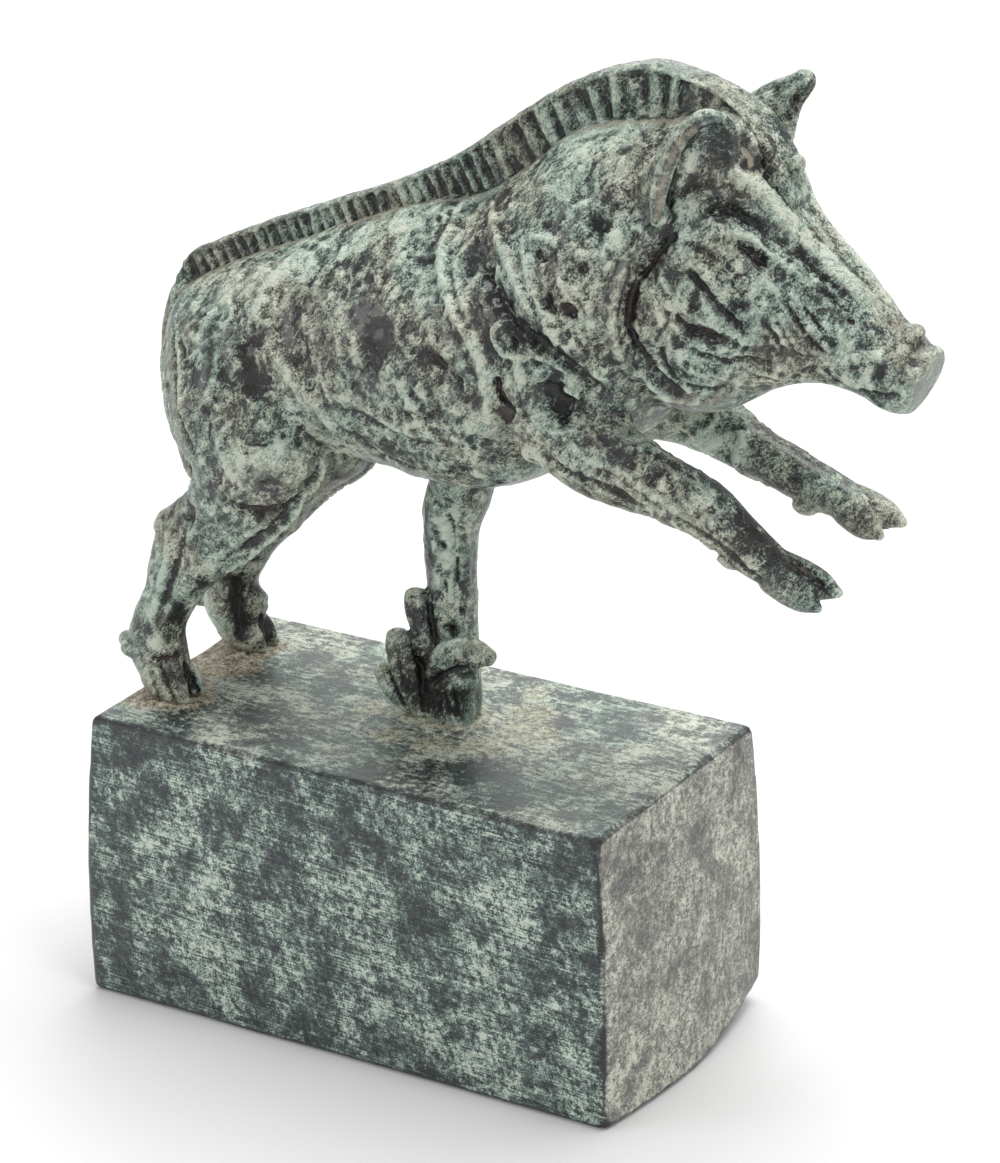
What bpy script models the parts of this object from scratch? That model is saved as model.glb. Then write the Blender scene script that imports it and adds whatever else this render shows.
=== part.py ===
"""A cast bronze boar that leaps over a tree stump, on its block plinth.

Two pieces: "boar" is one casting with the stump and the leaf tuft that hold it up,
and "plinth" is the block under it. The tables are in millimetres and the meshes in
metres. +X is the way the boar faces, +Y is its left, +Z is up, and the origin is the
centre of the plinth's underside.
"""

import math

import bmesh
import bpy
import numpy as np
from mathutils import Vector

MM = 0.001

# The block, measured along its top edges. It is a little larger at its foot.
PLINTH_LENGTH = 120.0
PLINTH_WIDTH = 64.0
PLINTH_HEIGHT = 63.2
PLINTH_SPREAD = 4.0
LEFT_EXTRA = 0.8
LEFT_SPREAD = 1.5
PLINTH_BULGE = 0.9
PLINTH_EDGE = 1.2
FRONT_BOW = 2.6
RAISED_CORNER = 4.5
CORNER_FROM = (30.0, 2.0)
CORNER_HEIGHT = 22.0
FLAT_SHARE = 0.45

GAP = 0.3
GROUND = PLINTH_HEIGHT + GAP

SKIN_VOXEL = 0.95
SKIN_SMOOTHING = 4
SKIN_TRIANGLES = 8200

# Trunk and head as upright cross-sections, from the rump to the snout:
# x, top, bottom, half width, and how far the top narrows to a ridge.
TRUNK = [
    (-57.8, 138.0, 124.0, 4.0, 0.00),
    (-55.9, 145.0, 117.0, 8.0, 0.04),
    (-51.8, 150.0, 112.0, 13.0, 0.08),
    (-46.5, 153.4, 111.0, 17.3, 0.12),
    (-39.0, 157.4, 114.0, 20.5, 0.18),
    (-29.0, 162.0, 118.5, 22.0, 0.22),
    (-18.0, 166.8, 121.0, 22.2, 0.24),
    (-8.0, 171.4, 121.0, 22.8, 0.26),
    (6.0, 176.8, 119.6, 24.5, 0.28),
    (20.0, 181.2, 119.7, 25.5, 0.30),
    (29.0, 188.0, 122.6, 25.5, 0.32),
    (38.0, 195.6, 128.5, 25.0, 0.32),
    (47.0, 199.6, 133.5, 24.0, 0.30),
    (56.0, 201.2, 139.0, 21.5, 0.24),
    (61.0, 201.4, 146.0, 16.0, 0.20),
]
HEAD = [
    (50.0, 198.0, 145.0, 17.5, 0.12),
    (58.0, 201.0, 143.4, 18.6, 0.14),
    (66.0, 204.2, 143.4, 18.8, 0.18),
    (71.0, 205.0, 144.6, 18.2, 0.24),
    (76.0, 203.0, 147.2, 17.0, 0.30),
    (80.0, 196.8, 150.0, 15.6, 0.34),
    (84.0, 188.2, 151.9, 14.2, 0.34),
    (90.0, 181.5, 153.6, 12.0, 0.30),
    (96.0, 176.1, 153.6, 10.2, 0.22),
    (101.0, 171.6, 151.8, 8.8, 0.16),
    (105.5, 167.8, 150.0, 7.8, 0.10),
    (109.5, 165.5, 150.1, 7.0, 0.05),
]
SNOUT_CENTRE = (110.9, 0.0, 157.1)
SNOUT_RADIUS = 6.8
SNOUT_PITCH = math.radians(21)
# Along the snout's axis: distance ahead of the centre, and radius.
SNOUT_PROFILE = [(-6.0, 6.0), (-2.4, 6.4), (-1.2, SNOUT_RADIUS), (0.4, SNOUT_RADIUS), (0.8, 6.5)]
NOSE_BUMP = (108.8, 0.0, 166.2)
NOSE_BUMP_SIZE = (2.4, 3.0, 2.0)

# The upright crest: x, foot, top and half thickness along the spine.
CREST = [
    (-56.5, 146.0, 149.2, 1.6),
    (-53.5, 146.5, 154.8, 2.1),
    (-47.0, 150.0, 159.0, 2.3),
    (-35.0, 156.0, 165.0, 2.3),
    (-17.0, 164.0, 172.8, 2.4),
    (0.0, 171.5, 180.2, 2.4),
    (12.0, 176.0, 187.0, 2.6),
    (23.0, 180.0, 195.2, 2.8),
    (34.0, 189.0, 202.8, 3.0),
    (45.0, 195.0, 208.2, 3.2),
    (55.5, 198.0, 210.4, 3.4),
    (61.0, 198.6, 209.6, 3.6),
    (66.0, 199.0, 208.3, 3.8),
    (72.0, 198.0, 205.8, 4.4),
    (77.5, 192.0, 201.6, 5.0),
    (82.5, 186.0, 194.6, 4.4),
    (85.0, 183.6, 189.0, 3.2),
]

FORELOCK = (83.9, -0.5, 194.7)
FORELOCK_SIZE = (1.9, 2.4, 2.3)

# Legs as tubes through joints: x, y, z, radius fore and aft, radius sideways.
HIND_LEG = [
    (-36.0, 8.0, 141.0, 14.0, 11.5),
    (-32.5, 13.5, 130.0, 16.5, 11.0),
    (-30.2, 15.5, 117.0, 13.5, 9.0),
    (-36.6, 15.2, 106.0, 9.6, 7.0),
    (-44.6, 14.9, 98.0, 9.0, 5.8),
    (-48.8, 14.8, 91.0, 7.0, 5.2),
    (-51.4, 14.7, 85.0, 5.8, 4.6),
    (-54.0, 14.6, 79.0, 5.9, 4.8),
    (-54.6, 14.6, 74.0, 6.7, 5.4),
    (-52.6, 14.8, 69.0, 5.6, 5.4),
]
LEFT_HIND_SHIFT = -1.2
LEG_SHIFT_BELOW = 115.0
# Along a toe: share of its length, radius fore and aft, radius sideways.
HIND_TOE = [(0.0, 4.6, 3.1), (0.45, 4.1, 2.9), (0.8, 2.9, 2.2), (1.0, 1.3, 1.1)]
FORE_TOE = [(0.0, 3.7, 2.9), (0.45, 3.5, 2.8), (0.8, 2.5, 2.1), (1.0, 1.1, 1.0)]
HOCK = (-50.4, 14.8, 101.8)
HOCK_SIZE = (2.9, 3.2, 3.4)
LEFT_STIFLE_SHIFT = (-1.0, 0.0, 1.0)
LEFT_THIGH_FROM, LEFT_THIGH_TO, LEFT_THIGH_SLIMMER = 102.0, 125.0, 2.2
LEFT_FETLOCK = (-50.0, 15.2, 73.8)
LEFT_FETLOCK_SIZE = (3.0, 3.4, 3.4)
STIFLE = (-20.5, 15.5, 121.5)
STIFLE_SIZE = (7.5, 6.8, 7.5)
HIND_TOES = [
    ((-53.8, 13.2, 69.0), (-45.4, 12.9, 65.0)),
    ((-53.6, 17.0, 69.0), (-46.0, 17.8, 64.6)),
]
HIND_DEWCLAWS = [(-62.6, 13.4, 73.0), (-59.2, 17.6, 73.4)]
HIND_DEWCLAW_SIZE = (2.6, 1.9, 2.1)

FORE_LEG_RIGHT = [
    (35.0, -12.5, 152.0, 15.0, 9.5),
    (41.0, -15.0, 142.4, 9.8, 8.8),
    (49.0, -16.4, 137.2, 8.8, 7.4),
    (57.0, -16.6, 134.7, 7.9, 6.6),
    (66.0, -16.2, 132.0, 6.4, 5.6),
    (75.0, -15.6, 128.6, 5.8, 5.3),
    (79.5, -15.4, 125.6, 5.0, 4.7),
    (85.0, -15.4, 121.9, 4.6, 4.6),
    (90.0, -15.4, 119.6, 3.5, 4.3),
]
RIGHT_FORE_TOES = [
    ((89.0, -13.6, 119.7), (101.2, -13.9, 117.2)),
    ((89.0, -16.6, 119.0), (98.4, -16.9, 114.6)),
]
RIGHT_FORE_DEWCLAWS = [(78.9, -13.6, 121.4), (80.3, -17.0, 120.8)]

FORE_LEG_LEFT = [
    (36.0, 12.0, 151.0, 15.0, 9.0),
    (43.0, 14.0, 140.2, 11.3, 8.6),
    (52.0, 14.5, 137.4, 8.6, 7.4),
    (60.0, 14.4, 134.3, 6.6, 6.0),
    (68.0, 14.2, 130.9, 5.2, 5.3),
    (76.0, 14.0, 128.5, 4.7, 5.0),
    (80.5, 14.0, 126.8, 4.6, 4.6),
    (86.0, 14.0, 124.9, 4.3, 4.6),
    (91.0, 14.0, 123.5, 3.6, 4.3),
]
LEFT_FORE_TOES = [
    ((90.0, 16.0, 123.4), (100.0, 16.2, 121.0)),
    ((90.0, 12.2, 123.3), (97.2, 11.8, 119.2)),
]
LEFT_FORE_DEWCLAWS = [(81.2, 12.0, 122.2), (82.2, 16.0, 122.3)]
FORE_DEWCLAW_SIZE = (3.0, 1.8, 2.0)

TAIL = [
    (-52.4, 0.0, 150.5, 2.0, 2.0),
    (-55.5, 0.0, 147.2, 2.4, 2.5),
    (-58.0, 0.0, 141.5, 2.2, 2.5),
    (-58.7, 0.0, 133.5, 2.0, 2.4),
    (-57.9, -0.6, 125.0, 1.9, 2.3),
    (-55.6, -2.2, 117.4, 1.8, 2.2),
    (-52.0, -5.0, 112.4, 1.7, 2.0),
    (-48.0, -8.6, 110.8, 1.4, 1.8),
]

STUMP = [
    (8.0, 4.5, 124.0, 8.0, 6.6),
    (7.2, 5.2, 115.0, 7.0, 6.0),
    (4.4, 6.0, 107.0, 6.4, 5.6),
    (4.0, 6.2, 100.0, 5.8, 5.2),
    (4.3, 6.2, 92.0, 5.3, 5.0),
    (4.8, 6.2, 82.0, 5.0, 5.0),
    (5.2, 6.4, 72.0, 5.0, 5.0),
    (5.2, 6.4, 66.0, 5.4, 5.2),
]

# Leaves as flat tapering tubes: x, y, z, half width, half thickness.
LEAVES = [
    [
        (-2.6, 1.4, 65.6, 2.0, 2.0),
        (-5.2, 1.2, 67.2, 2.5, 2.1),
        (-7.8, 1.0, 70.2, 2.7, 2.1),
        (-9.2, 1.0, 72.0, 2.3, 1.8),
    ],
    [
        (-0.6, 1.0, 65.6, 2.2, 2.0),
        (-2.0, 0.3, 70.1, 2.8, 2.2),
        (-3.6, 0.0, 74.8, 3.3, 2.3),
        (-4.6, 0.0, 79.2, 3.4, 2.1),
        (-4.9, 0.0, 81.0, 2.9, 1.9),
    ],
    [
        (2.6, 4.6, 68.0, 2.2, 2.0),
        (1.6, 3.2, 74.0, 2.4, 2.0),
        (0.7, 1.8, 79.6, 2.4, 2.0),
        (-0.2, 1.2, 83.6, 2.4, 1.9),
        (-1.3, 1.6, 87.4, 2.9, 2.0),
        (-1.8, 1.8, 90.2, 2.7, 1.8),
    ],
]
CURLED_LEAF = [
    (4.9, 3.6, 65.6, 6.6, 4.6),
    (5.1, 3.2, 69.5, 6.6, 4.5),
    (5.8, 2.5, 73.0, 6.7, 4.2),
    (7.6, 1.8, 77.0, 6.9, 3.8),
]
LEAF_LIP = [
    (3.6, -0.2, 74.6, 2.0, 1.6),
    (6.4, -0.9, 78.0, 3.4, 1.9),
    (9.6, -1.0, 80.2, 3.9, 2.0),
    (13.0, -0.8, 81.2, 3.6, 2.0),
    (15.2, -0.4, 81.1, 3.0, 1.8),
    (16.3, 0.5, 80.6, 2.1, 1.6),
]

# Ears, each from its root to its tip: share of the length, half width behind and before the middle line.
RIGHT_EAR_ENDS = ((67.6, 14.4, 184.0), (75.6, 16.0, 207.2))
RIGHT_EAR_SHAPE = [
    (0.0, 5.0, 2.0),
    (0.2, 7.2, 3.6),
    (0.5, 7.6, 5.2),
    (0.75, 6.6, 5.5),
    (0.9, 4.8, 4.4),
    (1.0, 2.2, 2.2),
]
LEFT_EAR_ENDS = ((63.4, 15.0, 190.1), (78.9, 16.0, 206.3))
LEFT_EAR_SHAPE = [
    (0.0, 5.4, 2.6),
    (0.3, 6.9, 5.0),
    (0.5, 6.4, 6.0),
    (0.6, 5.9, 5.0),
    (0.75, 4.4, 2.2),
    (0.9, 3.4, 1.6),
    (1.0, 1.6, 1.0),
]
EAR_FACING = (0.60, 0.80, 0.15)
EAR_CUP = 2.6
EAR_WALL = 1.6
EAR_BACK = [
    (59.0, 12.0, 184.0, 3.8, 3.4),
    (61.6, 13.6, 190.0, 3.8, 3.2),
    (65.0, 14.6, 196.6, 2.7, 2.5),
    (69.6, 15.2, 201.4, 1.5, 1.5),
]

# Folds as lines in the side view: (x, z) points, half width, and height, less than zero for a cut.
RUFF = [
    (66.0, 187.0),
    (60.7, 181.0),
    (57.0, 174.0),
    (55.5, 167.0),
    (56.7, 159.0),
    (60.6, 153.0),
    (67.0, 149.0),
]
BEHIND_CHEEK = [(68.4, 184.5), (63.4, 179.0), (60.2, 173.0), (59.0, 167.0), (60.0, 160.5), (63.2, 155.8)]
COLLAR = [(30.0, 181.0), (31.6, 176.0), (35.3, 170.5), (40.7, 164.0), (48.0, 158.5), (56.5, 153.5)]
UNDER_COLLAR = [(28.6, 175.0), (30.2, 168.0), (34.0, 163.0), (39.5, 158.5), (47.0, 153.5), (55.0, 149.0)]
FIRST_RIB = [
    (23.0, 177.0),
    (20.8, 170.0),
    (22.8, 163.0),
    (27.7, 156.5),
    (29.8, 149.5),
    (31.5, 143.0),
    (38.5, 135.5),
]
SHOULDER_HOLLOW = [(33.5, 152.5), (36.5, 147.5), (41.0, 144.5)]
RIB_HOLLOW = [(26.5, 166.0), (28.5, 160.5)]
HAUNCH_FOLD = [(-8.0, 124.5), (-14.0, 118.5), (-20.0, 112.0), (-32.0, 100.5)]
FLANK_HOLLOW = [(-17.0, 158.0), (-17.0, 148.0), (-13.0, 138.0)]
BROW = [(73.0, 192.0), (83.5, 188.0), (91.0, 182.0), (100.0, 174.5)]
UNDER_BROW = [(70.0, 186.5), (77.0, 184.0), (84.0, 180.5), (90.0, 176.0)]
FOLDS = [
    (RUFF, 1.7, 1.7),
    (BEHIND_CHEEK, 2.0, -1.7),
    (COLLAR, 2.0, 1.5),
    (UNDER_COLLAR, 1.9, -2.4),
    (FIRST_RIB, 2.2, 1.1),
    (SHOULDER_HOLLOW, 3.2, -1.8),
    (RIB_HOLLOW, 1.8, -1.2),
    (HAUNCH_FOLD, 1.6, 1.0),
    (FLANK_HOLLOW, 5.0, -1.0),
    (BROW, 1.8, 0.9),
    (UNDER_BROW, 1.7, -1.4),
]
FLANK_FROM = 3.0

BRONZE_COLOUR = (0.10, 0.11, 0.09, 1.0)
PLINTH_COLOUR = (0.09, 0.10, 0.09, 1.0)


def clear_scene():
    for old in list(bpy.data.objects):
        bpy.data.objects.remove(old, do_unlink=True)


def metal(name, colour, roughness):
    material = bpy.data.materials.new(name)
    material.use_nodes = True
    shader = material.node_tree.nodes["Principled BSDF"]
    shader.inputs["Base Color"].default_value = colour
    shader.inputs["Metallic"].default_value = 0.6
    shader.inputs["Roughness"].default_value = roughness
    return material


def smooth_rows(rows, count):
    """Rows of a table, read at even steps along a smooth curve through all of them."""
    table = np.array(rows, float)
    step = np.linalg.norm(np.diff(table[:, :3], axis=0), axis=1)
    place = np.concatenate([[0.0], np.cumsum(step)])
    slope = np.gradient(table, place, axis=0)
    at = np.linspace(0.0, place[-1], count)
    left = np.clip(np.searchsorted(place, at, side="right") - 1, 0, len(place) - 2)
    span = (place[left + 1] - place[left])[:, None]
    t = (at[:, None] - place[left][:, None]) / span
    start = (1 + 2 * t) * (1 - t) ** 2 * table[left] + t * (1 - t) ** 2 * span * slope[left]
    end = t * t * (3 - 2 * t) * table[left + 1] + t * t * (t - 1) * span * slope[left + 1]
    return start + end


def add_loft(mesh, rings):
    """Joins closed rings of points into one closed skin with a fan at each end."""
    rows = [[mesh.verts.new(Vector(point) * MM) for point in ring] for ring in rings]
    count = len(rows[0])
    for low, high in zip(rows, rows[1:]):
        for i in range(count):
            j = (i + 1) % count
            mesh.faces.new((low[i], low[j], high[j], high[i]))
    for ring, turned in ((rows[0], True), (rows[-1], False)):
        middle = sum((vert.co for vert in ring), Vector()) / count
        pole = mesh.verts.new(middle)
        for i in range(count):
            j = (i + 1) % count
            corners = (ring[j], ring[i], pole) if turned else (ring[i], ring[j], pole)
            mesh.faces.new(corners)


def new_object(name, mesh):
    bmesh.ops.recalc_face_normals(mesh, faces=mesh.faces)
    data = bpy.data.meshes.new(name)
    mesh.to_mesh(data)
    mesh.free()
    made = bpy.data.objects.new(name, data)
    bpy.context.scene.collection.objects.link(made)
    return made


def section_ring(x, top, bottom, half_width, ridge, count=32):
    """An upright egg-shaped cross-section that narrows towards its top."""
    middle = (top + bottom) / 2
    half_height = (top - bottom) / 2
    ring = []
    for i in range(count):
        angle = 2 * math.pi * i / count
        side = math.cos(angle)
        rise = math.sin(angle)
        narrow = 1 - ridge * max(rise, 0.0) ** 1.5
        across = half_width * narrow * math.copysign(abs(side) ** 0.85, side)
        ring.append((x, across, middle + half_height * rise))
    return ring


def add_body(mesh, stations, count):
    rows = [(x, 0.0, 0.0, top, bottom, half, ridge) for x, top, bottom, half, ridge in stations]
    rings = [section_ring(row[0], *row[3:]) for row in smooth_rows(rows, count)]
    add_loft(mesh, rings)


def round_end(ring, place, outward, radius, turns):
    """The ring again and again, smaller and further out, as a quarter circle closes it."""
    closing = []
    for turn in turns:
        lean = math.radians(turn)
        closing.append(place + (ring - place) * math.cos(lean) + outward * radius * math.sin(lean))
    return closing


def tube_rings(rows, side, count=16):
    """Elliptical rings square to a path, with rounded ends. side is the sideways direction."""
    places = rows[:, :3]
    forward = np.gradient(places, axis=0)
    forward /= np.linalg.norm(forward, axis=1)[:, None]
    angles = 2 * np.pi * np.arange(count) / count
    rings = []
    for place, along, (fore, across) in zip(places, forward, rows[:, 3:5]):
        out = np.cross(along, side)
        out /= np.linalg.norm(out)
        sideways = np.cross(out, along)
        lengthwise = np.outer(np.cos(angles), out) * fore
        crosswise = np.outer(np.sin(angles), sideways) * across
        rings.append(place + lengthwise + crosswise)
    first = round_end(rings[0], places[0], -forward[0], rows[0, 3:5].min(), (75, 45, 20))
    last = round_end(rings[-1], places[-1], forward[-1], rows[-1, 3:5].min(), (20, 45, 75))
    return first + rings + last


def add_tube(mesh, joints, count, side=(0.0, 1.0, 0.0)):
    add_loft(mesh, tube_rings(smooth_rows(joints, count), np.array(side)))


def add_ball(mesh, centre, radii):
    made = bmesh.ops.create_uvsphere(mesh, u_segments=16, v_segments=10, radius=1.0)
    for vert in made["verts"]:
        vert.co = Vector([c * MM + r * MM * k for c, r, k in zip(centre, radii, vert.co)])


def add_toe(mesh, root, tip, taper):
    """A cloven toe that tapers from the pastern to its tip."""
    joints = []
    for share, fore, across in taper:
        place = [a + (b - a) * share for a, b in zip(root, tip)]
        joints.append((*place, fore, across))
    add_tube(mesh, joints, 7)


def add_foot(mesh, toes, taper, dewclaws, claw_size):
    for root, tip in toes:
        add_toe(mesh, root, tip, taper)
    for centre in dewclaws:
        add_ball(mesh, centre, claw_size)


def add_hind_leg(mesh, side):
    """side is +1 for the boar's left and -1 for its right."""
    shift = LEFT_HIND_SHIFT if side > 0 else 0.0
    joints = []
    for x, y, z, fore, across in HIND_LEG:
        moved = x + (shift if z < LEG_SHIFT_BELOW else 0.0)
        slimmer = LEFT_THIGH_SLIMMER if side > 0 and LEFT_THIGH_FROM < z < LEFT_THIGH_TO else 0.0
        joints.append((moved, y * side, z, fore - slimmer, across))
    add_tube(mesh, joints, 30)
    add_ball(mesh, (HOCK[0] + shift, HOCK[1] * side, HOCK[2]), HOCK_SIZE)
    toes = []
    for root, tip in HIND_TOES:
        toes.append([(x + shift, y * side, z) for x, y, z in (root, tip)])
    dewclaws = [(x + shift * 0.5, y * side, z) for x, y, z in HIND_DEWCLAWS]
    add_foot(mesh, toes, HIND_TOE, dewclaws, HIND_DEWCLAW_SIZE)
    if side < 0:
        add_ball(mesh, (STIFLE[0], -STIFLE[1], STIFLE[2]), STIFLE_SIZE)
        return
    add_ball(mesh, [a + b for a, b in zip(STIFLE, LEFT_STIFLE_SHIFT)], STIFLE_SIZE)
    add_ball(mesh, LEFT_FETLOCK, LEFT_FETLOCK_SIZE)


def add_snout(mesh):
    """The flat disc at the end of the nose, leaning forward."""
    facing = Vector((math.cos(SNOUT_PITCH), 0.0, -math.sin(SNOUT_PITCH)))
    up = Vector((math.sin(SNOUT_PITCH), 0.0, math.cos(SNOUT_PITCH)))
    rings = []
    for back, radius in SNOUT_PROFILE:
        middle = Vector(SNOUT_CENTRE) + facing * back
        ring = []
        for i in range(24):
            angle = 2 * math.pi * i / 24
            sideways = Vector((0.0, radius * math.cos(angle), 0.0))
            ring.append(middle + sideways + up * radius * math.sin(angle))
        rings.append(ring)
    add_loft(mesh, rings)
    add_ball(mesh, NOSE_BUMP, NOSE_BUMP_SIZE)


def add_ear(mesh, side):
    """A cupped leaf of metal, wide in the middle, with its hollow facing forward and out."""
    ends, shape = (LEFT_EAR_ENDS, LEFT_EAR_SHAPE) if side > 0 else (RIGHT_EAR_ENDS, RIGHT_EAR_SHAPE)
    root, tip = np.array(ends) * (1, side, 1)
    along = (tip - root) / np.linalg.norm(tip - root)
    facing = np.array(EAR_FACING) * (1, side, 1)
    facing -= along * facing.dot(along)
    facing /= np.linalg.norm(facing)
    sideways = np.cross(along, facing)
    shares, rear_halves, front_halves = zip(*shape)
    rings = []
    for share in np.linspace(0.0, 1.0, 13):
        behind_half = np.interp(share, shares, rear_halves)
        before_half = np.interp(share, shares, front_halves)
        place = root + (tip - root) * share
        front = []
        for k in np.linspace(-1.0, 1.0, 9) * side:
            half = behind_half if k * side > 0 else before_half
            depth = EAR_CUP * (1 - 0.5 * share) * (k * k - 1) + EAR_WALL / 2
            front.append(place + sideways * half * k + facing * depth)
        behind = [point - facing * EAR_WALL for point in front[::-1]]
        rings.append(front + behind)
    add_loft(mesh, rings)
    back = [(x, y * side, z, fore, across) for x, y, z, fore, across in EAR_BACK]
    add_tube(mesh, back, 12)


def add_crest(mesh):
    rows = [(x, 0.0, 0.0, foot, top, half) for x, foot, top, half in CREST]
    rings = []
    for row in smooth_rows(rows, 60):
        x, foot, top, half = row[0], row[3], row[4], row[5]
        ring = [(x, -half * 1.3, foot), (x, half * 1.3, foot)]
        for turn in range(0, 181, 30):
            angle = math.radians(turn)
            ring.append((x, half * math.cos(angle), top - half + half * math.sin(angle)))
        rings.append(ring)
    add_loft(mesh, rings)


def add_leaves(mesh):
    for leaf in LEAVES:
        add_tube(mesh, leaf, 10)
    add_tube(mesh, CURLED_LEAF, 10, side=(0.3, 1.0, 0.0))
    add_tube(mesh, LEAF_LIP, 10)


def distance_to_path(x, z, path):
    """Distance in the side view from each point to a line of short straight runs."""
    nearest = np.full(len(x), np.inf)
    for (ax, az), (bx, bz) in zip(path, path[1:]):
        run_x, run_z = bx - ax, bz - az
        share = ((x - ax) * run_x + (z - az) * run_z) / (run_x * run_x + run_z * run_z)
        share = np.clip(share, 0.0, 1.0)
        nearest = np.minimum(nearest, np.hypot(x - ax - share * run_x, z - az - share * run_z))
    return nearest


def carve_flanks(data):
    """Raises and cuts the main folds on both flanks, along the skin's own normals."""
    count = len(data.vertices)
    places = np.empty(count * 3)
    normals = np.empty(count * 3)
    data.vertices.foreach_get("co", places)
    data.vertex_normals.foreach_get("vector", normals)
    places = places.reshape(-1, 3) / MM
    normals = normals.reshape(-1, 3)
    outward = np.clip(np.abs(normals[:, 1]) * 2.0 - 0.2, 0.0, 1.0)
    flank = (np.abs(places[:, 1]) > FLANK_FROM) & (normals[:, 1] * places[:, 1] > 0)
    height = np.zeros(count)
    for path, half_width, lift in FOLDS:
        away = distance_to_path(places[:, 0], places[:, 2], path)
        height += lift * np.exp(-((away / half_width) ** 2))
    places += normals * (height * outward * flank)[:, None]
    data.vertices.foreach_set("co", (places * MM).ravel())
    data.update()


def cut_at_ground(data):
    """The feet and the stump end in flat faces just above the plinth."""
    mesh = bmesh.new()
    mesh.from_mesh(data)
    every = mesh.verts[:] + mesh.edges[:] + mesh.faces[:]
    level = Vector((0.0, 0.0, GROUND * MM))
    cut = bmesh.ops.bisect_plane(mesh, geom=every, plane_co=level, plane_no=(0, 0, 1), clear_inner=True)
    rim = [item for item in cut["geom_cut"] if isinstance(item, bmesh.types.BMEdge)]
    bmesh.ops.contextual_create(mesh, geom=rim)
    bmesh.ops.triangulate(mesh, faces=[face for face in mesh.faces if len(face.verts) > 4])
    mesh.to_mesh(data)
    mesh.free()


def build_boar():
    mesh = bmesh.new()
    add_body(mesh, TRUNK, 44)
    add_body(mesh, HEAD, 36)
    add_snout(mesh)
    for side in (-1, 1):
        add_hind_leg(mesh, side)
        add_ear(mesh, side)
    add_tube(mesh, FORE_LEG_RIGHT, 26)
    add_foot(mesh, RIGHT_FORE_TOES, FORE_TOE, RIGHT_FORE_DEWCLAWS, FORE_DEWCLAW_SIZE)
    add_tube(mesh, FORE_LEG_LEFT, 26)
    add_foot(mesh, LEFT_FORE_TOES, FORE_TOE, LEFT_FORE_DEWCLAWS, FORE_DEWCLAW_SIZE)
    add_crest(mesh)
    add_ball(mesh, FORELOCK, FORELOCK_SIZE)
    add_tube(mesh, TAIL, 28)
    add_tube(mesh, STUMP, 24)
    add_leaves(mesh)
    boar = new_object("boar", mesh)
    skin = boar.modifiers.new("one skin", "REMESH")
    skin.mode = "VOXEL"
    skin.voxel_size = SKIN_VOXEL * MM
    soften = boar.modifiers.new("soften", "SMOOTH")
    soften.factor = 0.5
    soften.iterations = SKIN_SMOOTHING
    graph = bpy.context.evaluated_depsgraph_get()
    data = bpy.data.meshes.new_from_object(boar.evaluated_get(graph))
    boar.modifiers.clear()
    carve_flanks(data)
    cut_at_ground(data)
    boar.data = data
    thin = boar.modifiers.new("fewer faces", "DECIMATE")
    thin.ratio = SKIN_TRIANGLES / (2 * len(data.polygons))
    data.materials.clear()
    data.materials.append(metal("dark bronze", BRONZE_COLOUR, 0.55))
    data.shade_smooth()
    return boar


def plinth_ring(z, inset, count=5, side_steps=8):
    """A rectangle with slightly bowed sides and small round corners, at height z."""
    share = z / PLINTH_HEIGHT
    swell = PLINTH_BULGE * math.sin(math.pi * share)
    half_x = PLINTH_LENGTH / 2 + PLINTH_SPREAD / 2 * (1 - share) + swell - inset
    right_y = PLINTH_WIDTH / 2 + swell - inset
    left_y = right_y + LEFT_EXTRA + LEFT_SPREAD * (1 - share)
    corner = PLINTH_EDGE
    ring = []
    for turn, sx, sy in ((0, 1, 1), (90, -1, 1), (180, -1, -1), (270, 1, -1)):
        half_y = left_y if sy > 0 else right_y
        for i in range(count):
            angle = math.radians(turn + 90 * i / (count - 1))
            x = sx * (half_x - corner) + corner * math.cos(angle)
            y = sy * (half_y - corner) + corner * math.sin(angle)
            ring.append((x, y, z))
        if turn == 270:
            for y in np.linspace(corner - right_y, left_y - corner, side_steps + 1)[1:-1]:
                ring.append((half_x, y, z))
    return ring


def raise_corner(x, y, z):
    """The front end bows out towards its foot, and the foot's far corner is lifted clear."""
    front = max(x / (PLINTH_LENGTH / 2), 0.0) ** 6 * (1 - (2 * y / PLINTH_WIDTH) ** 2)
    towards = max(x - CORNER_FROM[0], 0.0) / 32.0 * max(y - CORNER_FROM[1], 0.0) / 30.0
    low = max(1 - z / CORNER_HEIGHT, 0.0)
    return (
        x + FRONT_BOW * max(front, 0.0) * (1 - z / PLINTH_HEIGHT),
        y,
        z + RAISED_CORNER * towards * low * low,
    )


def build_plinth():
    mesh = bmesh.new()
    outline = plinth_ring(0.0, PLINTH_EDGE)
    rings = [[(x * FLAT_SHARE, y * FLAT_SHARE, 0.0) for x, y, _ in outline]]
    for turn in (90, 60, 30, 0):
        lean = math.radians(turn)
        lift = PLINTH_EDGE * (1 - math.sin(lean))
        rings.append(plinth_ring(lift, PLINTH_EDGE * (1 - math.cos(lean))))
    for share in np.linspace(0.08, 0.92, 9):
        rings.append(plinth_ring(PLINTH_HEIGHT * share, 0.0))
    for turn in (0, 30, 60, 90):
        lean = math.radians(turn)
        drop = PLINTH_EDGE * (1 - math.sin(lean))
        rings.append(plinth_ring(PLINTH_HEIGHT - drop, PLINTH_EDGE * (1 - math.cos(lean))))
    add_loft(mesh, [[raise_corner(*point) for point in ring] for ring in rings])
    plinth = new_object("plinth", mesh)
    plinth.data.materials.append(metal("plinth bronze", PLINTH_COLOUR, 0.6))
    plinth.data.shade_smooth()
    plinth.data.set_sharp_from_angle(angle=math.radians(40))
    return plinth


clear_scene()
build_plinth()
build_boar()
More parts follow.
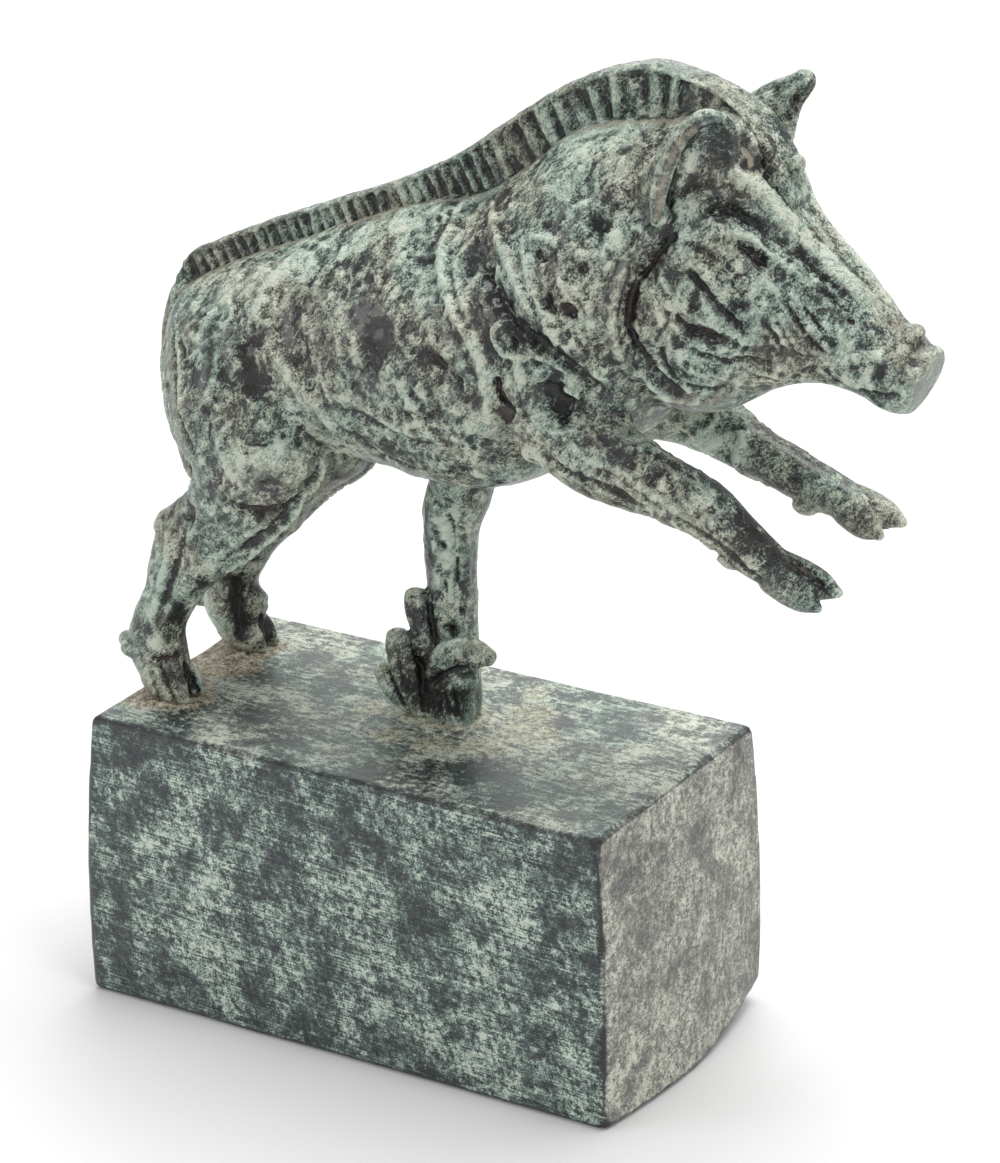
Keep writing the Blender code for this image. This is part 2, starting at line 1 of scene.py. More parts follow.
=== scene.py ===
# %% [markdown]
# # A cast bronze boar on its block plinth
#
# The real object is a small lost-wax bronze. Somebody modelled a leaping boar in soft wax
# over a tree stump, pressed and dragged the wax with fingers and a tool, cast it hollow,
# and brushed a pale green patina over the dark metal. The block under it is a second
# casting with a plain brushed face.
#
# This lesson builds it in the same order as the maker did: big masses first, then one
# skin over all of them, then thumb strokes and tool marks, then the crest's ribs, and
# last the patina. The packed model gives every size and place. Tables are in
# millimetres, because that is how a maker measures a table bronze, and the meshes are
# in metres.

# %% Load the packed model and note its box
import itertools
import math

import bpy
import numpy as np
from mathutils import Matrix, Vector
from mathutils.kdtree import KDTree


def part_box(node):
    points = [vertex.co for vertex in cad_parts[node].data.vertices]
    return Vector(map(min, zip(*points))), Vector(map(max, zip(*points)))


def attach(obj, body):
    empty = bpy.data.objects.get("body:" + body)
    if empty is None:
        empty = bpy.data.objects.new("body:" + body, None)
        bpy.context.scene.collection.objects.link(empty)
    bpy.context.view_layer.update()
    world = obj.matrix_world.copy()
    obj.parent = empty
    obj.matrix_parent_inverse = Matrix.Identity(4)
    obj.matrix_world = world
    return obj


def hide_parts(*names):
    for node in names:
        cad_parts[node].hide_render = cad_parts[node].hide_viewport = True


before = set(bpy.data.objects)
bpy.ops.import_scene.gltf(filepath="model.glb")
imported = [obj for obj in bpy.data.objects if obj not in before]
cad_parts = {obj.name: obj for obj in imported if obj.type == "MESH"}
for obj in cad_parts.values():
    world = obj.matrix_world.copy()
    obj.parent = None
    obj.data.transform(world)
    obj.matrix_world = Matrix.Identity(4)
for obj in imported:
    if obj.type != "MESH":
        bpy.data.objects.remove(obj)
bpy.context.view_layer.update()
MM = 0.001


def box_in_mm(node):
    """The lowest and highest corners of one packed node, as two arrays in millimetres."""
    low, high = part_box(node)
    return np.array(low) / MM, np.array(high) / MM


def add_object(name, data):
    """A new object in the scene that shows the data."""
    made = bpy.data.objects.new(name, data)
    bpy.context.scene.collection.objects.link(made)
    return made


BOAR_LOW, BOAR_HIGH = box_in_mm("boar")
PLINTH_LOW, PLINTH_HIGH = box_in_mm("plinth")
GROUND = float(BOAR_LOW[2])
print("boar", BOAR_LOW.round(1), BOAR_HIGH.round(1), "plinth top", round(PLINTH_HIGH[2], 1))

# %% [markdown]
# ## Camera, floor and light
#
# A table bronze is best seen from a little above its own height and from three quarters,
# so that the head, the flank and two faces of the block all show. The floor is a plain
# pale sheet, as in a product studio. The light is one very large soft box above and a
# weaker one on each side: dark metal shows its form by what it reflects, and large pale
# areas give it long, quiet highlights.

# %% Camera at three quarters
AIM = Vector((19.25, 0.0, 98.0)) * MM
CAMERA_DISTANCE = 0.9014
CAMERA_AZIMUTH = math.radians(30.6)
CAMERA_ELEVATION = math.radians(22.1)
CAMERA_ROLL = math.radians(-0.2)
CAMERA_LENS = 139.3
CAMERA_SENSOR = 36.0
NEAREST_SEEN = 0.01


def place_camera():
    data = bpy.data.cameras.new("three quarter view")
    data.lens = CAMERA_LENS
    data.sensor_width = CAMERA_SENSOR
    data.clip_start = NEAREST_SEEN
    camera = add_object("three quarter view", data)
    flat = math.cos(CAMERA_ELEVATION)
    east, south = math.sin(CAMERA_AZIMUTH) * flat, -math.cos(CAMERA_AZIMUTH) * flat
    back = Vector((east, south, math.sin(CAMERA_ELEVATION)))
    camera.location = AIM + back * CAMERA_DISTANCE
    camera.rotation_euler = back.to_track_quat("Z", "Y").to_euler()
    camera.rotation_euler.rotate_axis("Z", CAMERA_ROLL)
    bpy.context.scene.camera = camera
    return camera


camera = place_camera()
print("camera at", [round(value, 3) for value in camera.location])

# %% Pale floor and studio light
FLOOR_HALF = 4.0
FLOOR_COLOUR = (0.74, 0.74, 0.74, 1.0)
FLOOR_ROUGHNESS = 0.9
# Name, place and size in metres, power in watts.
SOFT_BOXES = [
    ("over the work", (0.15, 0.3, 1.6), 1.0, 25.0),
    ("beside the head", (1.5, -0.5, 0.7), 0.8, 8.0),
    ("beside the rump", (-1.2, -1.2, 0.7), 0.9, 9.0),
    ("behind the work", (-0.75, 1.3, 0.75), 0.9, 7.0),
]
ROOM_COLOUR = (1.0, 1.0, 1.0, 1.0)
ROOM_GLOW = 0.45


def plain_material(name, colour, roughness):
    material = bpy.data.materials.new(name)
    material.use_nodes = True
    shader = material.node_tree.nodes["Principled BSDF"]
    shader.inputs["Base Color"].default_value = colour
    shader.inputs["Roughness"].default_value = roughness
    return material


def lay_floor():
    h = FLOOR_HALF
    data = bpy.data.meshes.new("pale floor")
    data.from_pydata([(-h, -h, 0), (h, -h, 0), (h, h, 0), (-h, h, 0)], [], [(0, 1, 2, 3)])
    floor = add_object("pale floor", data)
    data.materials.append(plain_material("pale paper", FLOOR_COLOUR, FLOOR_ROUGHNESS))


def soft_box(name, place, size, power):
    """A square area light that faces the middle of the work."""
    data = bpy.data.lights.new(name, "AREA")
    data.size = size
    data.energy = power
    light = add_object(name, data)
    light.location = place
    light.rotation_euler = (Vector(place) - AIM).to_track_quat("Z", "Y").to_euler()


def light_studio():
    for name, place, size, power in SOFT_BOXES:
        soft_box(name, place, size, power)
    world = bpy.data.worlds.new("white room")
    world.use_nodes = True
    background = world.node_tree.nodes["Background"]
    background.inputs["Color"].default_value = ROOM_COLOUR
    background.inputs["Strength"].default_value = ROOM_GLOW
    bpy.context.scene.world = world
    bpy.context.scene.view_settings.view_transform = "Standard"


lay_floor()
light_studio()

# %% [markdown]
# ## How a mass is made: rings joined into a skin
#
# Every big mass of the boar is a row of rings: egg-shaped sections for the trunk and
# the head, ellipses square to a path for the legs. A table holds the few stations that
# a modeller would mark on an armature drawing, and a smooth curve runs through them.
# Subdivision surfaces could do this too, but rings keep each measured section exactly
# where it was measured.

# %% Helpers for rings, lofts, tubes and balls
CLOSING_TURNS = (20, 40, 60, 80)
POLE_TILT = 80


def smooth_rows(rows, count):
    """Rows of a table, read at even steps along a smooth curve through all of them."""
    table = np.array(rows, float)
    step = np.linalg.norm(np.diff(table[:, :3], axis=0), axis=1)
    place = np.concatenate([[0.0], np.cumsum(step)])
    slope = np.gradient(table, place, axis=0)
    at = np.linspace(0.0, place[-1], count)
    left = np.clip(np.searchsorted(place, at, side="right") - 1, 0, len(place) - 2)
    span = (place[left + 1] - place[left])[:, None]
    t = (at[:, None] - place[left][:, None]) / span
    start = (1 + 2 * t) * (1 - t) ** 2 * table[left] + t * (1 - t) ** 2 * span * slope[left]
    end = t * t * (3 - 2 * t) * table[left + 1] + t * t * (t - 1) * span * slope[left + 1]
    return start + end


def loft(rings):
    """Closed rings of points joined into one closed skin, with a fan at each end."""
    rings = np.array(rings, float)
    layers, count = rings.shape[:2]
    points = np.concatenate([rings.reshape(-1, 3), rings[:1].mean(axis=1), rings[-1:].mean(axis=1)])
    faces = []
    for layer in range(layers - 1):
        base = layer * count
        for i in range(count):
            j = (i + 1) % count
            faces.append((base + i, base + j, base + count + j, base + count + i))
    first, last = layers * count, layers * count + 1
    top = (layers - 1) * count
    for i in range(count):
        j = (i + 1) % count
        faces.append((j, i, first))
        faces.append((top + i, top + j, last))
    return points, faces


def tube(rows, count=40, side=(0.0, 1.0, 0.0), around=24):
    """A limb: elliptical rings square to a path through the rows, with rounded ends."""
    rows = smooth_rows(rows, count)
    places = rows[:, :3]
    forward = np.gradient(places, axis=0)
    forward /= np.linalg.norm(forward, axis=1)[:, None]
    angles = 2 * np.pi * np.arange(around) / around
    rings = []
    for place, along, (fore, across) in zip(places, forward, rows[:, 3:5]):
        out = np.cross(along, side)
        out /= np.linalg.norm(out)
        sideways = np.cross(out, along)
        lengthwise = np.outer(np.cos(angles), out) * fore
        crosswise = np.outer(np.sin(angles), sideways) * across
        rings.append(place + lengthwise + crosswise)

    def closing(end, outward, turns):
        """Rings that shrink towards the tip, as on a ball."""
        ring, place, radius = rings[end], places[end], rows[end, 3:5].min()
        turns = np.radians(turns)
        return [place + (ring - place) * math.cos(t) + outward * radius * math.sin(t) for t in turns]

    start = closing(0, -forward[0], CLOSING_TURNS[::-1])
    return loft(start + rings + closing(-1, forward[-1], CLOSING_TURNS))


def ball(centre, radii, around=20, layers=11):
    rings = []
    for tilt in np.linspace(-POLE_TILT, POLE_TILT, layers):
        lean = math.radians(tilt)
        ring = []
        for turn in np.arange(around) * 2 * math.pi / around:
            unit = (math.cos(lean) * math.cos(turn), math.cos(lean) * math.sin(turn), math.sin(lean))
            ring.append([c + r * k for c, r, k in zip(centre, radii, unit)])
        rings.append(ring)
    return loft(rings)


def mirrored(part):
    """The same piece on the other side of the animal, turned so that its faces point out."""
    points, faces = part
    return points * (1, -1, 1), [face[::-1] for face in faces]


def new_object(name, parts):
    """One object from several closed skins, given in millimetres."""
    points, faces, start = [], [], 0
    for part_points, part_faces in parts:
        points.append(np.asarray(part_points) * MM)
        faces += [tuple(start + corner for corner in face) for face in part_faces]
        start += len(part_points)
    data = bpy.data.meshes.new(name)
    data.from_pydata(np.concatenate(points).tolist(), [], faces)
    return add_object(name, data)


print("a test tube has", len(tube([(0, 0, 0, 1, 1), (0, 0, 5, 1, 1), (0, 0, 9, 1, 1)])[0]), "points")

# %% [markdown]
# ## Trunk and head
#
# The trunk is narrow and high at the rump, deep at the shoulders and rises to the crest.
# The head is a long wedge that ends in a flat disc, the way a boar's snout does. Each row
# is one upright section: how far along the body, its top and bottom, its half width, and
# how strongly the top narrows into a ridge.

# %% Sections of the trunk and the head
# Place along the body, top, bottom, half width, ridge.
TRUNK = [
    (-57.8, 138, 124, 4, 0),
    (-55.9, 145, 117, 8, 0.04),
    (-51.8, 150, 112, 13, 0.08),
    (-46.5, 153.4, 111, 17.3, 0.12),
    (-39, 157.4, 114, 20.5, 0.18),
    (-29, 162, 118.5, 22, 0.22),
    (-18, 166.8, 121, 22.2, 0.24),
    (-8, 171.4, 121, 22.8, 0.26),
    (6, 176.8, 119.6, 24.5, 0.28),
    (20, 181.2, 119.7, 25.3, 0.3),
    (29, 188, 122.6, 25.3, 0.32),
    (38, 195.6, 128.5, 25, 0.32),
    (47, 199.6, 133.5, 24, 0.3),
    (56, 201.2, 139, 21.5, 0.24),
    (61, 201.4, 146, 16, 0.2),
]
HEAD = [
    (50, 198, 145, 17.5, 0.12),
    (58, 201, 143.4, 18.6, 0.14),
    (66, 204.2, 143.4, 18.8, 0.18),
    (71, 205, 144.6, 18.2, 0.24),
    (76, 203, 147.2, 17, 0.3),
    (80, 196.8, 150, 15.6, 0.34),
    (84, 188.2, 151.9, 14.2, 0.34),
    (90, 181.5, 153.6, 12, 0.3),
    (96, 176.1, 153.6, 10.2, 0.22),
    (101, 171.6, 151.8, 8.8, 0.16),
    (105.5, 167.8, 150, 7.8, 0.1),
    (109.5, 165.5, 150.1, 7, 0.05),
]
RIDGE_SHARPNESS = 1.5
SIDE_FULLNESS = 0.85


def section_ring(x, top, bottom, half_width, ridge, around=56):
    """An upright egg-shaped cross-section that narrows towards its top."""
    middle = (top + bottom) / 2
    half_height = (top - bottom) / 2
    ring = []
    for turn in np.arange(around) * 2 * math.pi / around:
        side, rise = math.cos(turn), math.sin(turn)
        narrow = 1 - ridge * max(rise, 0.0) ** RIDGE_SHARPNESS
        across = half_width * narrow * math.copysign(abs(side) ** SIDE_FULLNESS, side)
        ring.append((x, across, middle + half_height * rise))
    return ring


def body_of(stations, count):
    rows = [(x, 0.0, 0.0, top, bottom, half, ridge) for x, top, bottom, half, ridge in stations]
    return loft([section_ring(row[0], *row[3:]) for row in smooth_rows(rows, count)])


masses = [body_of(TRUNK, 90), body_of(HEAD, 60)]
print("trunk and head:", [len(points) for points, faces in masses], "points")

# %% [markdown]
# ## Snout
#
# The snout ends in a flat disc that leans forward, a little wider than the muzzle behind
# it, with a small bump on the bridge above.

# %% Snout disc
SNOUT_CENTRE = np.array((110.9, 0.0, 157.1))
SNOUT_PITCH = math.radians(21)
SNOUT_FACING = np.array((math.cos(SNOUT_PITCH), 0.0, -math.sin(SNOUT_PITCH)))
SNOUT_UP = np.array((math.sin(SNOUT_PITCH), 0.0, math.cos(SNOUT_PITCH)))
# Along the snout's axis: distance ahead of the centre, and radius.
SNOUT_PROFILE = [(-6, 6), (-3, 6.1), (-1.6, 6.5), (-0.7, 6.9), (0.3, 6.9), (0.9, 6.5)]
NOSE_BUMP = (108.8, 0.0, 166.2)
NOSE_BUMP_SIZE = (2.2, 2.6, 1.7)


def snout(around=48):
    rings = []
    for ahead, radius in SNOUT_PROFILE:
        middle = SNOUT_CENTRE + SNOUT_FACING * ahead
        ring = []
        for turn in np.arange(around) * 2 * math.pi / around:
            sideways = np.array((0, 1, 0)) * radius * math.cos(turn)
            ring.append(middle + sideways + SNOUT_UP * radius * math.sin(turn))
        rings.append(ring)
    return loft(rings)


masses += [snout(), ball(NOSE_BUMP, NOSE_BUMP_SIZE)]
print("snout radius", SNOUT_PROFILE[3][1], "mm")

# %% [markdown]
# ## Legs, tail and stump
#
# A leg is one tapering tube from hip or shoulder to fetlock, with a row for every joint.
# The hind legs stand, so the same table serves both sides. The forelegs reach forward at
# different heights, so each has a table of its own. The stump carries the belly.

# %% Limb tables: x, y, z, radius fore and aft, radius sideways
HIND_LEG = [
    (-36, 8, 141, 14, 11.5),
    (-32.5, 13.5, 130, 16.5, 11),
    (-30.2, 15.5, 117, 13.5, 9),
    (-36.6, 15.2, 106, 9.6, 7),
    (-44.6, 14.9, 98, 9, 5.8),
    (-48.8, 14.8, 91, 7, 5.2),
    (-51.4, 14.7, 85, 5.8, 4.6),
    (-54, 14.6, 79, 5.9, 4.8),
    (-54.6, 14.6, 74, 6.7, 5.4),
    (-52.6, 14.8, 69, 5.6, 5.4),
]
LEFT_HIND_SHIFT = -1.2
LEG_SHIFT_BELOW = 115.0
HOCK = (-50.4, 14.8, 101.8)
HOCK_SIZE = (2.9, 3.2, 3.4)
LEFT_STIFLE_SHIFT = (-1.0, 0.0, 1.0)
LEFT_THIGH_FROM, LEFT_THIGH_TO, LEFT_THIGH_SLIMMER = 102.0, 125.0, 2.2
LEFT_FETLOCK = (-50.0, 15.2, 73.8)
LEFT_FETLOCK_SIZE = (3.0, 3.4, 3.4)
STIFLE = (-20.5, 15.5, 121.5)
STIFLE_SIZE = (7.5, 6.8, 7.5)
FORE_LEG_RIGHT = [
    (35, -12.5, 152, 15, 9.5),
    (41, -15, 142.4, 9.8, 8.8),
    (49, -16.4, 137.2, 8.8, 7.4),
    (57, -16.6, 134.7, 7.9, 6.6),
    (66, -16.2, 132, 6.4, 5.6),
    (75, -15.6, 128.6, 5.8, 5.3),
    (79.5, -15.4, 125.6, 5, 4.7),
    (85, -15.4, 121.9, 4.6, 4.6),
    (90, -15.4, 119.6, 3.5, 4.3),
]
FORE_LEG_LEFT = [
    (36, 12, 151, 15, 9),
    (43, 14, 140.2, 11.3, 8.6),
    (52, 14.5, 137.4, 8.6, 7.4),
    (60, 14.4, 134.3, 6.6, 6),
    (68, 14.2, 130.9, 5.2, 5.3),
    (76, 14, 128.5, 4.7, 5),
    (80.5, 14, 126.8, 4.6, 4.6),
    (86, 14, 124.9, 4.3, 4.6),
    (91, 14, 123.5, 3.6, 4.3),
]
TAIL = [
    (-52.4, 0, 150.5, 2, 2),
    (-55.5, 0, 147.2, 2.4, 2.5),
    (-58, 0, 141.5, 2.2, 2.5),
    (-58.7, 0, 133.5, 2, 2.4),
    (-57.9, -0.6, 125, 1.9, 2.3),
    (-55.6, -2.2, 117.4, 1.8, 2.2),
    (-52, -5, 112.4, 1.7, 2),
    (-48, -8.6, 110.8, 1.4, 1.8),
]
STUMP = [
    (8, 4.5, 124, 8, 6.6),
    (7.2, 5.2, 115, 7, 6),
    (4.4, 6, 107, 6.4, 5.6),
    (4, 6.2, 100, 5.8, 5.2),
    (4.3, 6.2, 92, 5.3, 5),
    (4.8, 6.2, 82, 5, 5),
    (5.2, 6.4, 72, 5, 5),
    (5.2, 6.4, 66, 5.4, 5.2),
]


def hind_leg(side):
    """side is +1 for the boar's left and -1 for its right."""
    shift = LEFT_HIND_SHIFT if side > 0 else 0.0
    rows = []
    for x, y, z, fore, across in HIND_LEG:
        moved = x + (shift if z < LEG_SHIFT_BELOW else 0.0)
        slimmer = LEFT_THIGH_SLIMMER if side > 0 and LEFT_THIGH_FROM < z < LEFT_THIGH_TO else 0.0
        rows.append((moved, y * side, z, fore - slimmer, across))
    hock = ball((HOCK[0] + shift, HOCK[1] * side, HOCK[2]), HOCK_SIZE)
    if side < 0:
        return [tube(rows, 60), hock, ball((STIFLE[0], -STIFLE[1], STIFLE[2]), STIFLE_SIZE)]
    stifle = ball([a + b for a, b in zip(STIFLE, LEFT_STIFLE_SHIFT)], STIFLE_SIZE)
    return [tube(rows, 60), hock, stifle, ball(LEFT_FETLOCK, LEFT_FETLOCK_SIZE)]


for side in (-1, 1):
    masses += hind_leg(side)
masses += [tube(FORE_LEG_RIGHT, 60), tube(FORE_LEG_LEFT, 60), tube(TAIL, 60), tube(STUMP, 50)]
print("big masses:", len(masses))

# %% [markdown]
# ## Small pieces: toes, dewclaws, ears and leaves
#
# A boar stands on two cloven toes with two small dewclaws behind. Each ear is a cupped
# leaf of metal with a rolled rim. At the stump's foot grow three finger-like leaves and
# one that curls open like a trumpet. They are thin, so they join the skin only at the
# finer voxel size, after the big masses have been blended.

# %% Toes and dewclaws
# Along a toe: share of its length, radius fore and aft, radius sideways.
HIND_TOE = [(0, 4.6, 3.1), (0.45, 4.1, 2.9), (0.8, 2.9, 2.2), (1, 1.3, 1.1)]
FORE_TOE = [(0, 3.7, 2.9), (0.45, 3.5, 2.8), (0.8, 2.5, 2.1), (1, 1.1, 1)]
HIND_TOES = [
    ((-53.8, 13.2, 69), (-45.4, 12.9, 65)),
    ((-53.6, 17, 69), (-46, 17.8, 64.6)),
]
HIND_DEWCLAWS = [(-62.6, 13.4, 73.0), (-59.2, 17.6, 73.4)]
HIND_DEWCLAW_SIZE = (2.6, 1.9, 2.1)
RIGHT_FORE_TOES = [
    ((89, -13.6, 119.7), (101.2, -13.9, 117.2)),
    ((89, -16.6, 119), (98.4, -16.9, 114.6)),
]
RIGHT_FORE_DEWCLAWS = [(78.9, -13.6, 121.4), (80.3, -17.0, 120.8)]
LEFT_FORE_TOES = [
    ((90, 16, 123.4), (100, 16.2, 121)),
    ((90, 12.2, 123.3), (97.2, 11.8, 119.2)),
]
LEFT_FORE_DEWCLAWS = [(81.2, 12.0, 122.2), (82.2, 16.0, 122.3)]
FORE_DEWCLAW_SIZE = (3.0, 1.8, 2.0)


def foot(toes, taper, dewclaws, claw_size):
    pieces = []
    for root, tip in toes:
        root, tip = np.array(root), np.array(tip)
        rows = [(*(root + (tip - root) * share), fore, across) for share, fore, across in taper]
        pieces.append(tube(rows, 16))
    return pieces + [ball(centre, claw_size) for centre in dewclaws]


def hind_foot(side):
    shift = LEFT_HIND_SHIFT if side > 0 else 0.0
    toes = [[(x + shift, y * side, z) for x, y, z in ends] for ends in HIND_TOES]
    dewclaws = [(x + shift * 0.5, y * side, z) for x, y, z in HIND_DEWCLAWS]
    return foot(toes, HIND_TOE, dewclaws, HIND_DEWCLAW_SIZE)


small = foot(RIGHT_FORE_TOES, FORE_TOE, RIGHT_FORE_DEWCLAWS, FORE_DEWCLAW_SIZE)
small += foot(LEFT_FORE_TOES, FORE_TOE, LEFT_FORE_DEWCLAWS, FORE_DEWCLAW_SIZE)
small += hind_foot(-1) + hind_foot(1)
print("pieces of the four feet:", len(small))

# %% Ears with rolled rims
# Along an ear: share of its length, half width behind its middle line and before it.
RIGHT_EAR_SHAPE = [
    (0, 4.6, 1.6),
    (0.2, 6.4, 3),
    (0.5, 6.6, 4.6),
    (0.75, 5.6, 4.9),
    (0.9, 4, 3.8),
    (1, 1.6, 1.6),
]
LEFT_EAR_SHAPE = [
    (0, 5, 2),
    (0.3, 6.1, 4.4),
    (0.5, 5.4, 5.4),
    (0.6, 4.9, 4.4),
    (0.75, 3.5, 1.6),
    (0.9, 2.5, 0.9),
    (1, 0.7, 0.3),
]
# Root, tip, shape and side. Both are written as left ears, and side -1 mirrors one.
EARS = [
    (np.array((63.4, 15.0, 190.1)), np.array((78.6, 16.0, 205.9)), LEFT_EAR_SHAPE, 1),
    (np.array((67.6, 14.4, 184.0)), np.array((75.4, 16.0, 206.6)), RIGHT_EAR_SHAPE, -1),
]
EAR_FACING = (0.60, 0.80, 0.15)
EAR_CUP = 2.6
EAR_WALL = 1.6
EAR_BACK = [
    (59, 12, 184, 3.6, 3.2),
    (61.6, 13.6, 190, 3.6, 3),
    (65, 14.6, 196.6, 2.6, 2.4),
    (69.6, 15.2, 201.4, 1.4, 1.4),
]
REAR_RIM_RADIUS = 1.6
FRONT_RIM_RADIUS = 0.8


def ear_axes(root, tip):
    """Unit directions of a left ear: out of its cup, and towards its rear edge."""
    along = (tip - root) / np.linalg.norm(tip - root)
    facing = np.array(EAR_FACING)
    facing = facing - along * facing.dot(along)
    facing /= np.linalg.norm(facing)
    return facing, np.cross(along, facing)


def cup_point(root, tip, shape, share, k):
    """A place inside a left ear: k is 1 at its rear edge, 0 in its middle, -1 at its front edge."""
    facing, sideways = ear_axes(root, tip)
    shares, rear_halves, front_halves = zip(*shape)
    half = np.interp(share, shares, rear_halves if k > 0 else front_halves)
    depth = EAR_CUP * (1 - 0.5 * share) * (k * k - 1) + EAR_WALL / 2
    return root + (tip - root) * share + sideways * half * k + facing * depth


def ear_line(ear, k, start, end):
    """A line up the inside of an ear, on its own side of the head."""
    root, tip, shape, side = ear
    shares = np.linspace(start, end, 9)
    return [cup_point(root, tip, shape, share, k) * (1, side, 1) for share in shares]


def ear_pieces(root, tip, shape, side):
    """A shallow cup that faces forward and out, a thick back, and a rolled rim round the cup."""
    facing, _ = ear_axes(root, tip)
    rings, rear, front = [], [], []
    for share in np.linspace(0.0, 1.0, 31):
        cup = [cup_point(root, tip, shape, share, k) for k in np.linspace(-1.0, 1.0, 21)]
        rings.append(cup + [point - facing * EAR_WALL for point in cup[::-1]])
        front.append((*(cup[0] - facing * EAR_WALL / 2), FRONT_RIM_RADIUS, FRONT_RIM_RADIUS))
        rear.append((*(cup[-1] - facing * EAR_WALL / 2), REAR_RIM_RADIUS, REAR_RIM_RADIUS))
    rim = rear[2:] + front[:1:-1]
    rim_line = [rim[i] for i in range(0, len(rim), 3)]
    rolled = tube(rim_line, 90, side=tuple(facing), around=12)
    pieces = [loft(rings), tube(EAR_BACK, 24), rolled]
    return pieces if side > 0 else [mirrored(part) for part in pieces]


for ear in EARS:
    small += ear_pieces(*ear)
print("ears:", [round(math.dist(root, tip), 1) for root, tip, _, _ in EARS], "mm long")

# %% Leaves at the stump's foot and the lock on the forehead
LEAVES = [
    [
        (-2.6, 1.4, 65.6, 2, 2),
        (-5.2, 1.2, 67.2, 2.5, 2.1),
        (-7.8, 1, 70.2, 2.7, 2.1),
        (-9.2, 1, 72, 2.3, 1.8),
    ],
    [
        (-0.6, 1, 65.6, 2.2, 2),
        (-2, 0.3, 70.1, 2.8, 2.2),
        (-3.6, 0, 74.8, 3.3, 2.3),
        (-4.6, 0, 79.2, 3.4, 2.1),
        (-4.9, 0, 81, 2.9, 1.9),
    ],
    [
        (2.6, 4.6, 68, 2.2, 2),
        (1.6, 3.2, 74, 2.4, 2),
        (0.7, 1.8, 79.6, 2.4, 2),
        (-0.2, 1.2, 83.6, 2.4, 1.9),
        (-1.3, 1.6, 87.4, 2.9, 2),
        (-1.8, 1.8, 90.2, 2.7, 1.8),
    ],
]
CURLED_LEAF = [
    (4.9, 3.6, 65.6, 6.6, 4.6),
    (5.1, 3.2, 69.5, 6.6, 4.5),
    (5.8, 2.5, 73, 6.7, 4.2),
    (7.6, 1.8, 77, 6.9, 3.8),
]
CURLED_LEAF_SIDE = (0.3, 1.0, 0.0)
LEAF_LIP = [
    (3.6, -0.2, 74.6, 2, 1.6),
    (6.4, -0.9, 78, 3.4, 1.9),
    (9.6, -1, 80.2, 3.9, 2),
    (13, -0.8, 81.2, 3.6, 2),
    (15.2, -0.4, 81.1, 3, 1.8),
    (16.3, 0.5, 80.6, 2.1, 1.6),
]
FORELOCK = (83.9, -0.5, 194.7)
FORELOCK_SIZE = (1.7, 2.2, 2.1)

small += [tube(leaf, 30) for leaf in LEAVES]
small += [tube(CURLED_LEAF, 30, side=CURLED_LEAF_SIDE), tube(LEAF_LIP, 30)]
small += [ball(FORELOCK, FORELOCK_SIZE)]
print("small pieces:", len(small))

# %% [markdown]
# ## One skin over all the masses
#
# A cast figure is one continuous surface. Voxel remeshing gives that: it fills the space
# inside all the overlapping masses and wraps it in even squares. It is done twice. The
# first pass is coarse and is smoothed well, so that legs flow into the body as wax does.
# The second is fine, with the toes, ears and leaves added.

# %% Coarse skin, then fine skin
COARSE_VOXEL, COARSE_SMOOTHING = 0.9, 4
FINE_VOXEL, FINE_SMOOTHING = 0.5, 2


def evaluated_mesh(made):
    """The object's mesh after its modifiers. The object itself is removed."""
    graph = bpy.context.evaluated_depsgraph_get()
    data = bpy.data.meshes.new_from_object(made.evaluated_get(graph))
    bpy.data.objects.remove(made, do_unlink=True)
    return data


def one_skin(parts, voxel, smoothing):
    made = new_object("wax", parts)
    skin = made.modifiers.new("one skin", "REMESH")
    skin.mode = "VOXEL"
    skin.voxel_size = voxel * MM
    soften = made.modifiers.new("soften", "SMOOTH")
    soften.factor = 0.5
    soften.iterations = smoothing
    return evaluated_mesh(made)


def vertex_array(data, what="co"):
    values = np.empty(len(data.vertices) * 3)
    if what == "normal":
        data.vertex_normals.foreach_get("vector", values)
        return values.reshape(-1, 3)
    data.vertices.foreach_get("co", values)
    return values.reshape(-1, 3) / MM


def as_part(data):
    """A mesh as points in millimetres and faces, to be joined with other pieces."""
    faces = [tuple(face.vertices) for face in data.polygons]
    return vertex_array(data), faces


coarse = one_skin(masses, COARSE_VOXEL, COARSE_SMOOTHING)
wax = one_skin([as_part(coarse)] + small, FINE_VOXEL, FINE_SMOOTHING)
print("coarse skin", len(coarse.polygons), "faces; fine skin", len(wax.polygons), "faces")

# %% [markdown]
# ## Tools for pressing and cutting the wax
#
# A stroke is a short line on the surface that is raised or cut, with soft ends, as a
# finger or a loop tool leaves it. Each point of the line is first dropped onto the
# nearest place on the skin, so the table's depths need not be exact. Then every vertex
# near the line moves along its own normal. Sculpting by hand would do the same, but a
# table of strokes can be read, changed and repeated on the other flank.

# %% The stroke tool
STROKE_STEP = 0.4
# A stroke reaches this many half widths, and only skin that faces much the same way.
REACH = 2.6
SAME_FACING = 0.1
END_FADE = 0.18


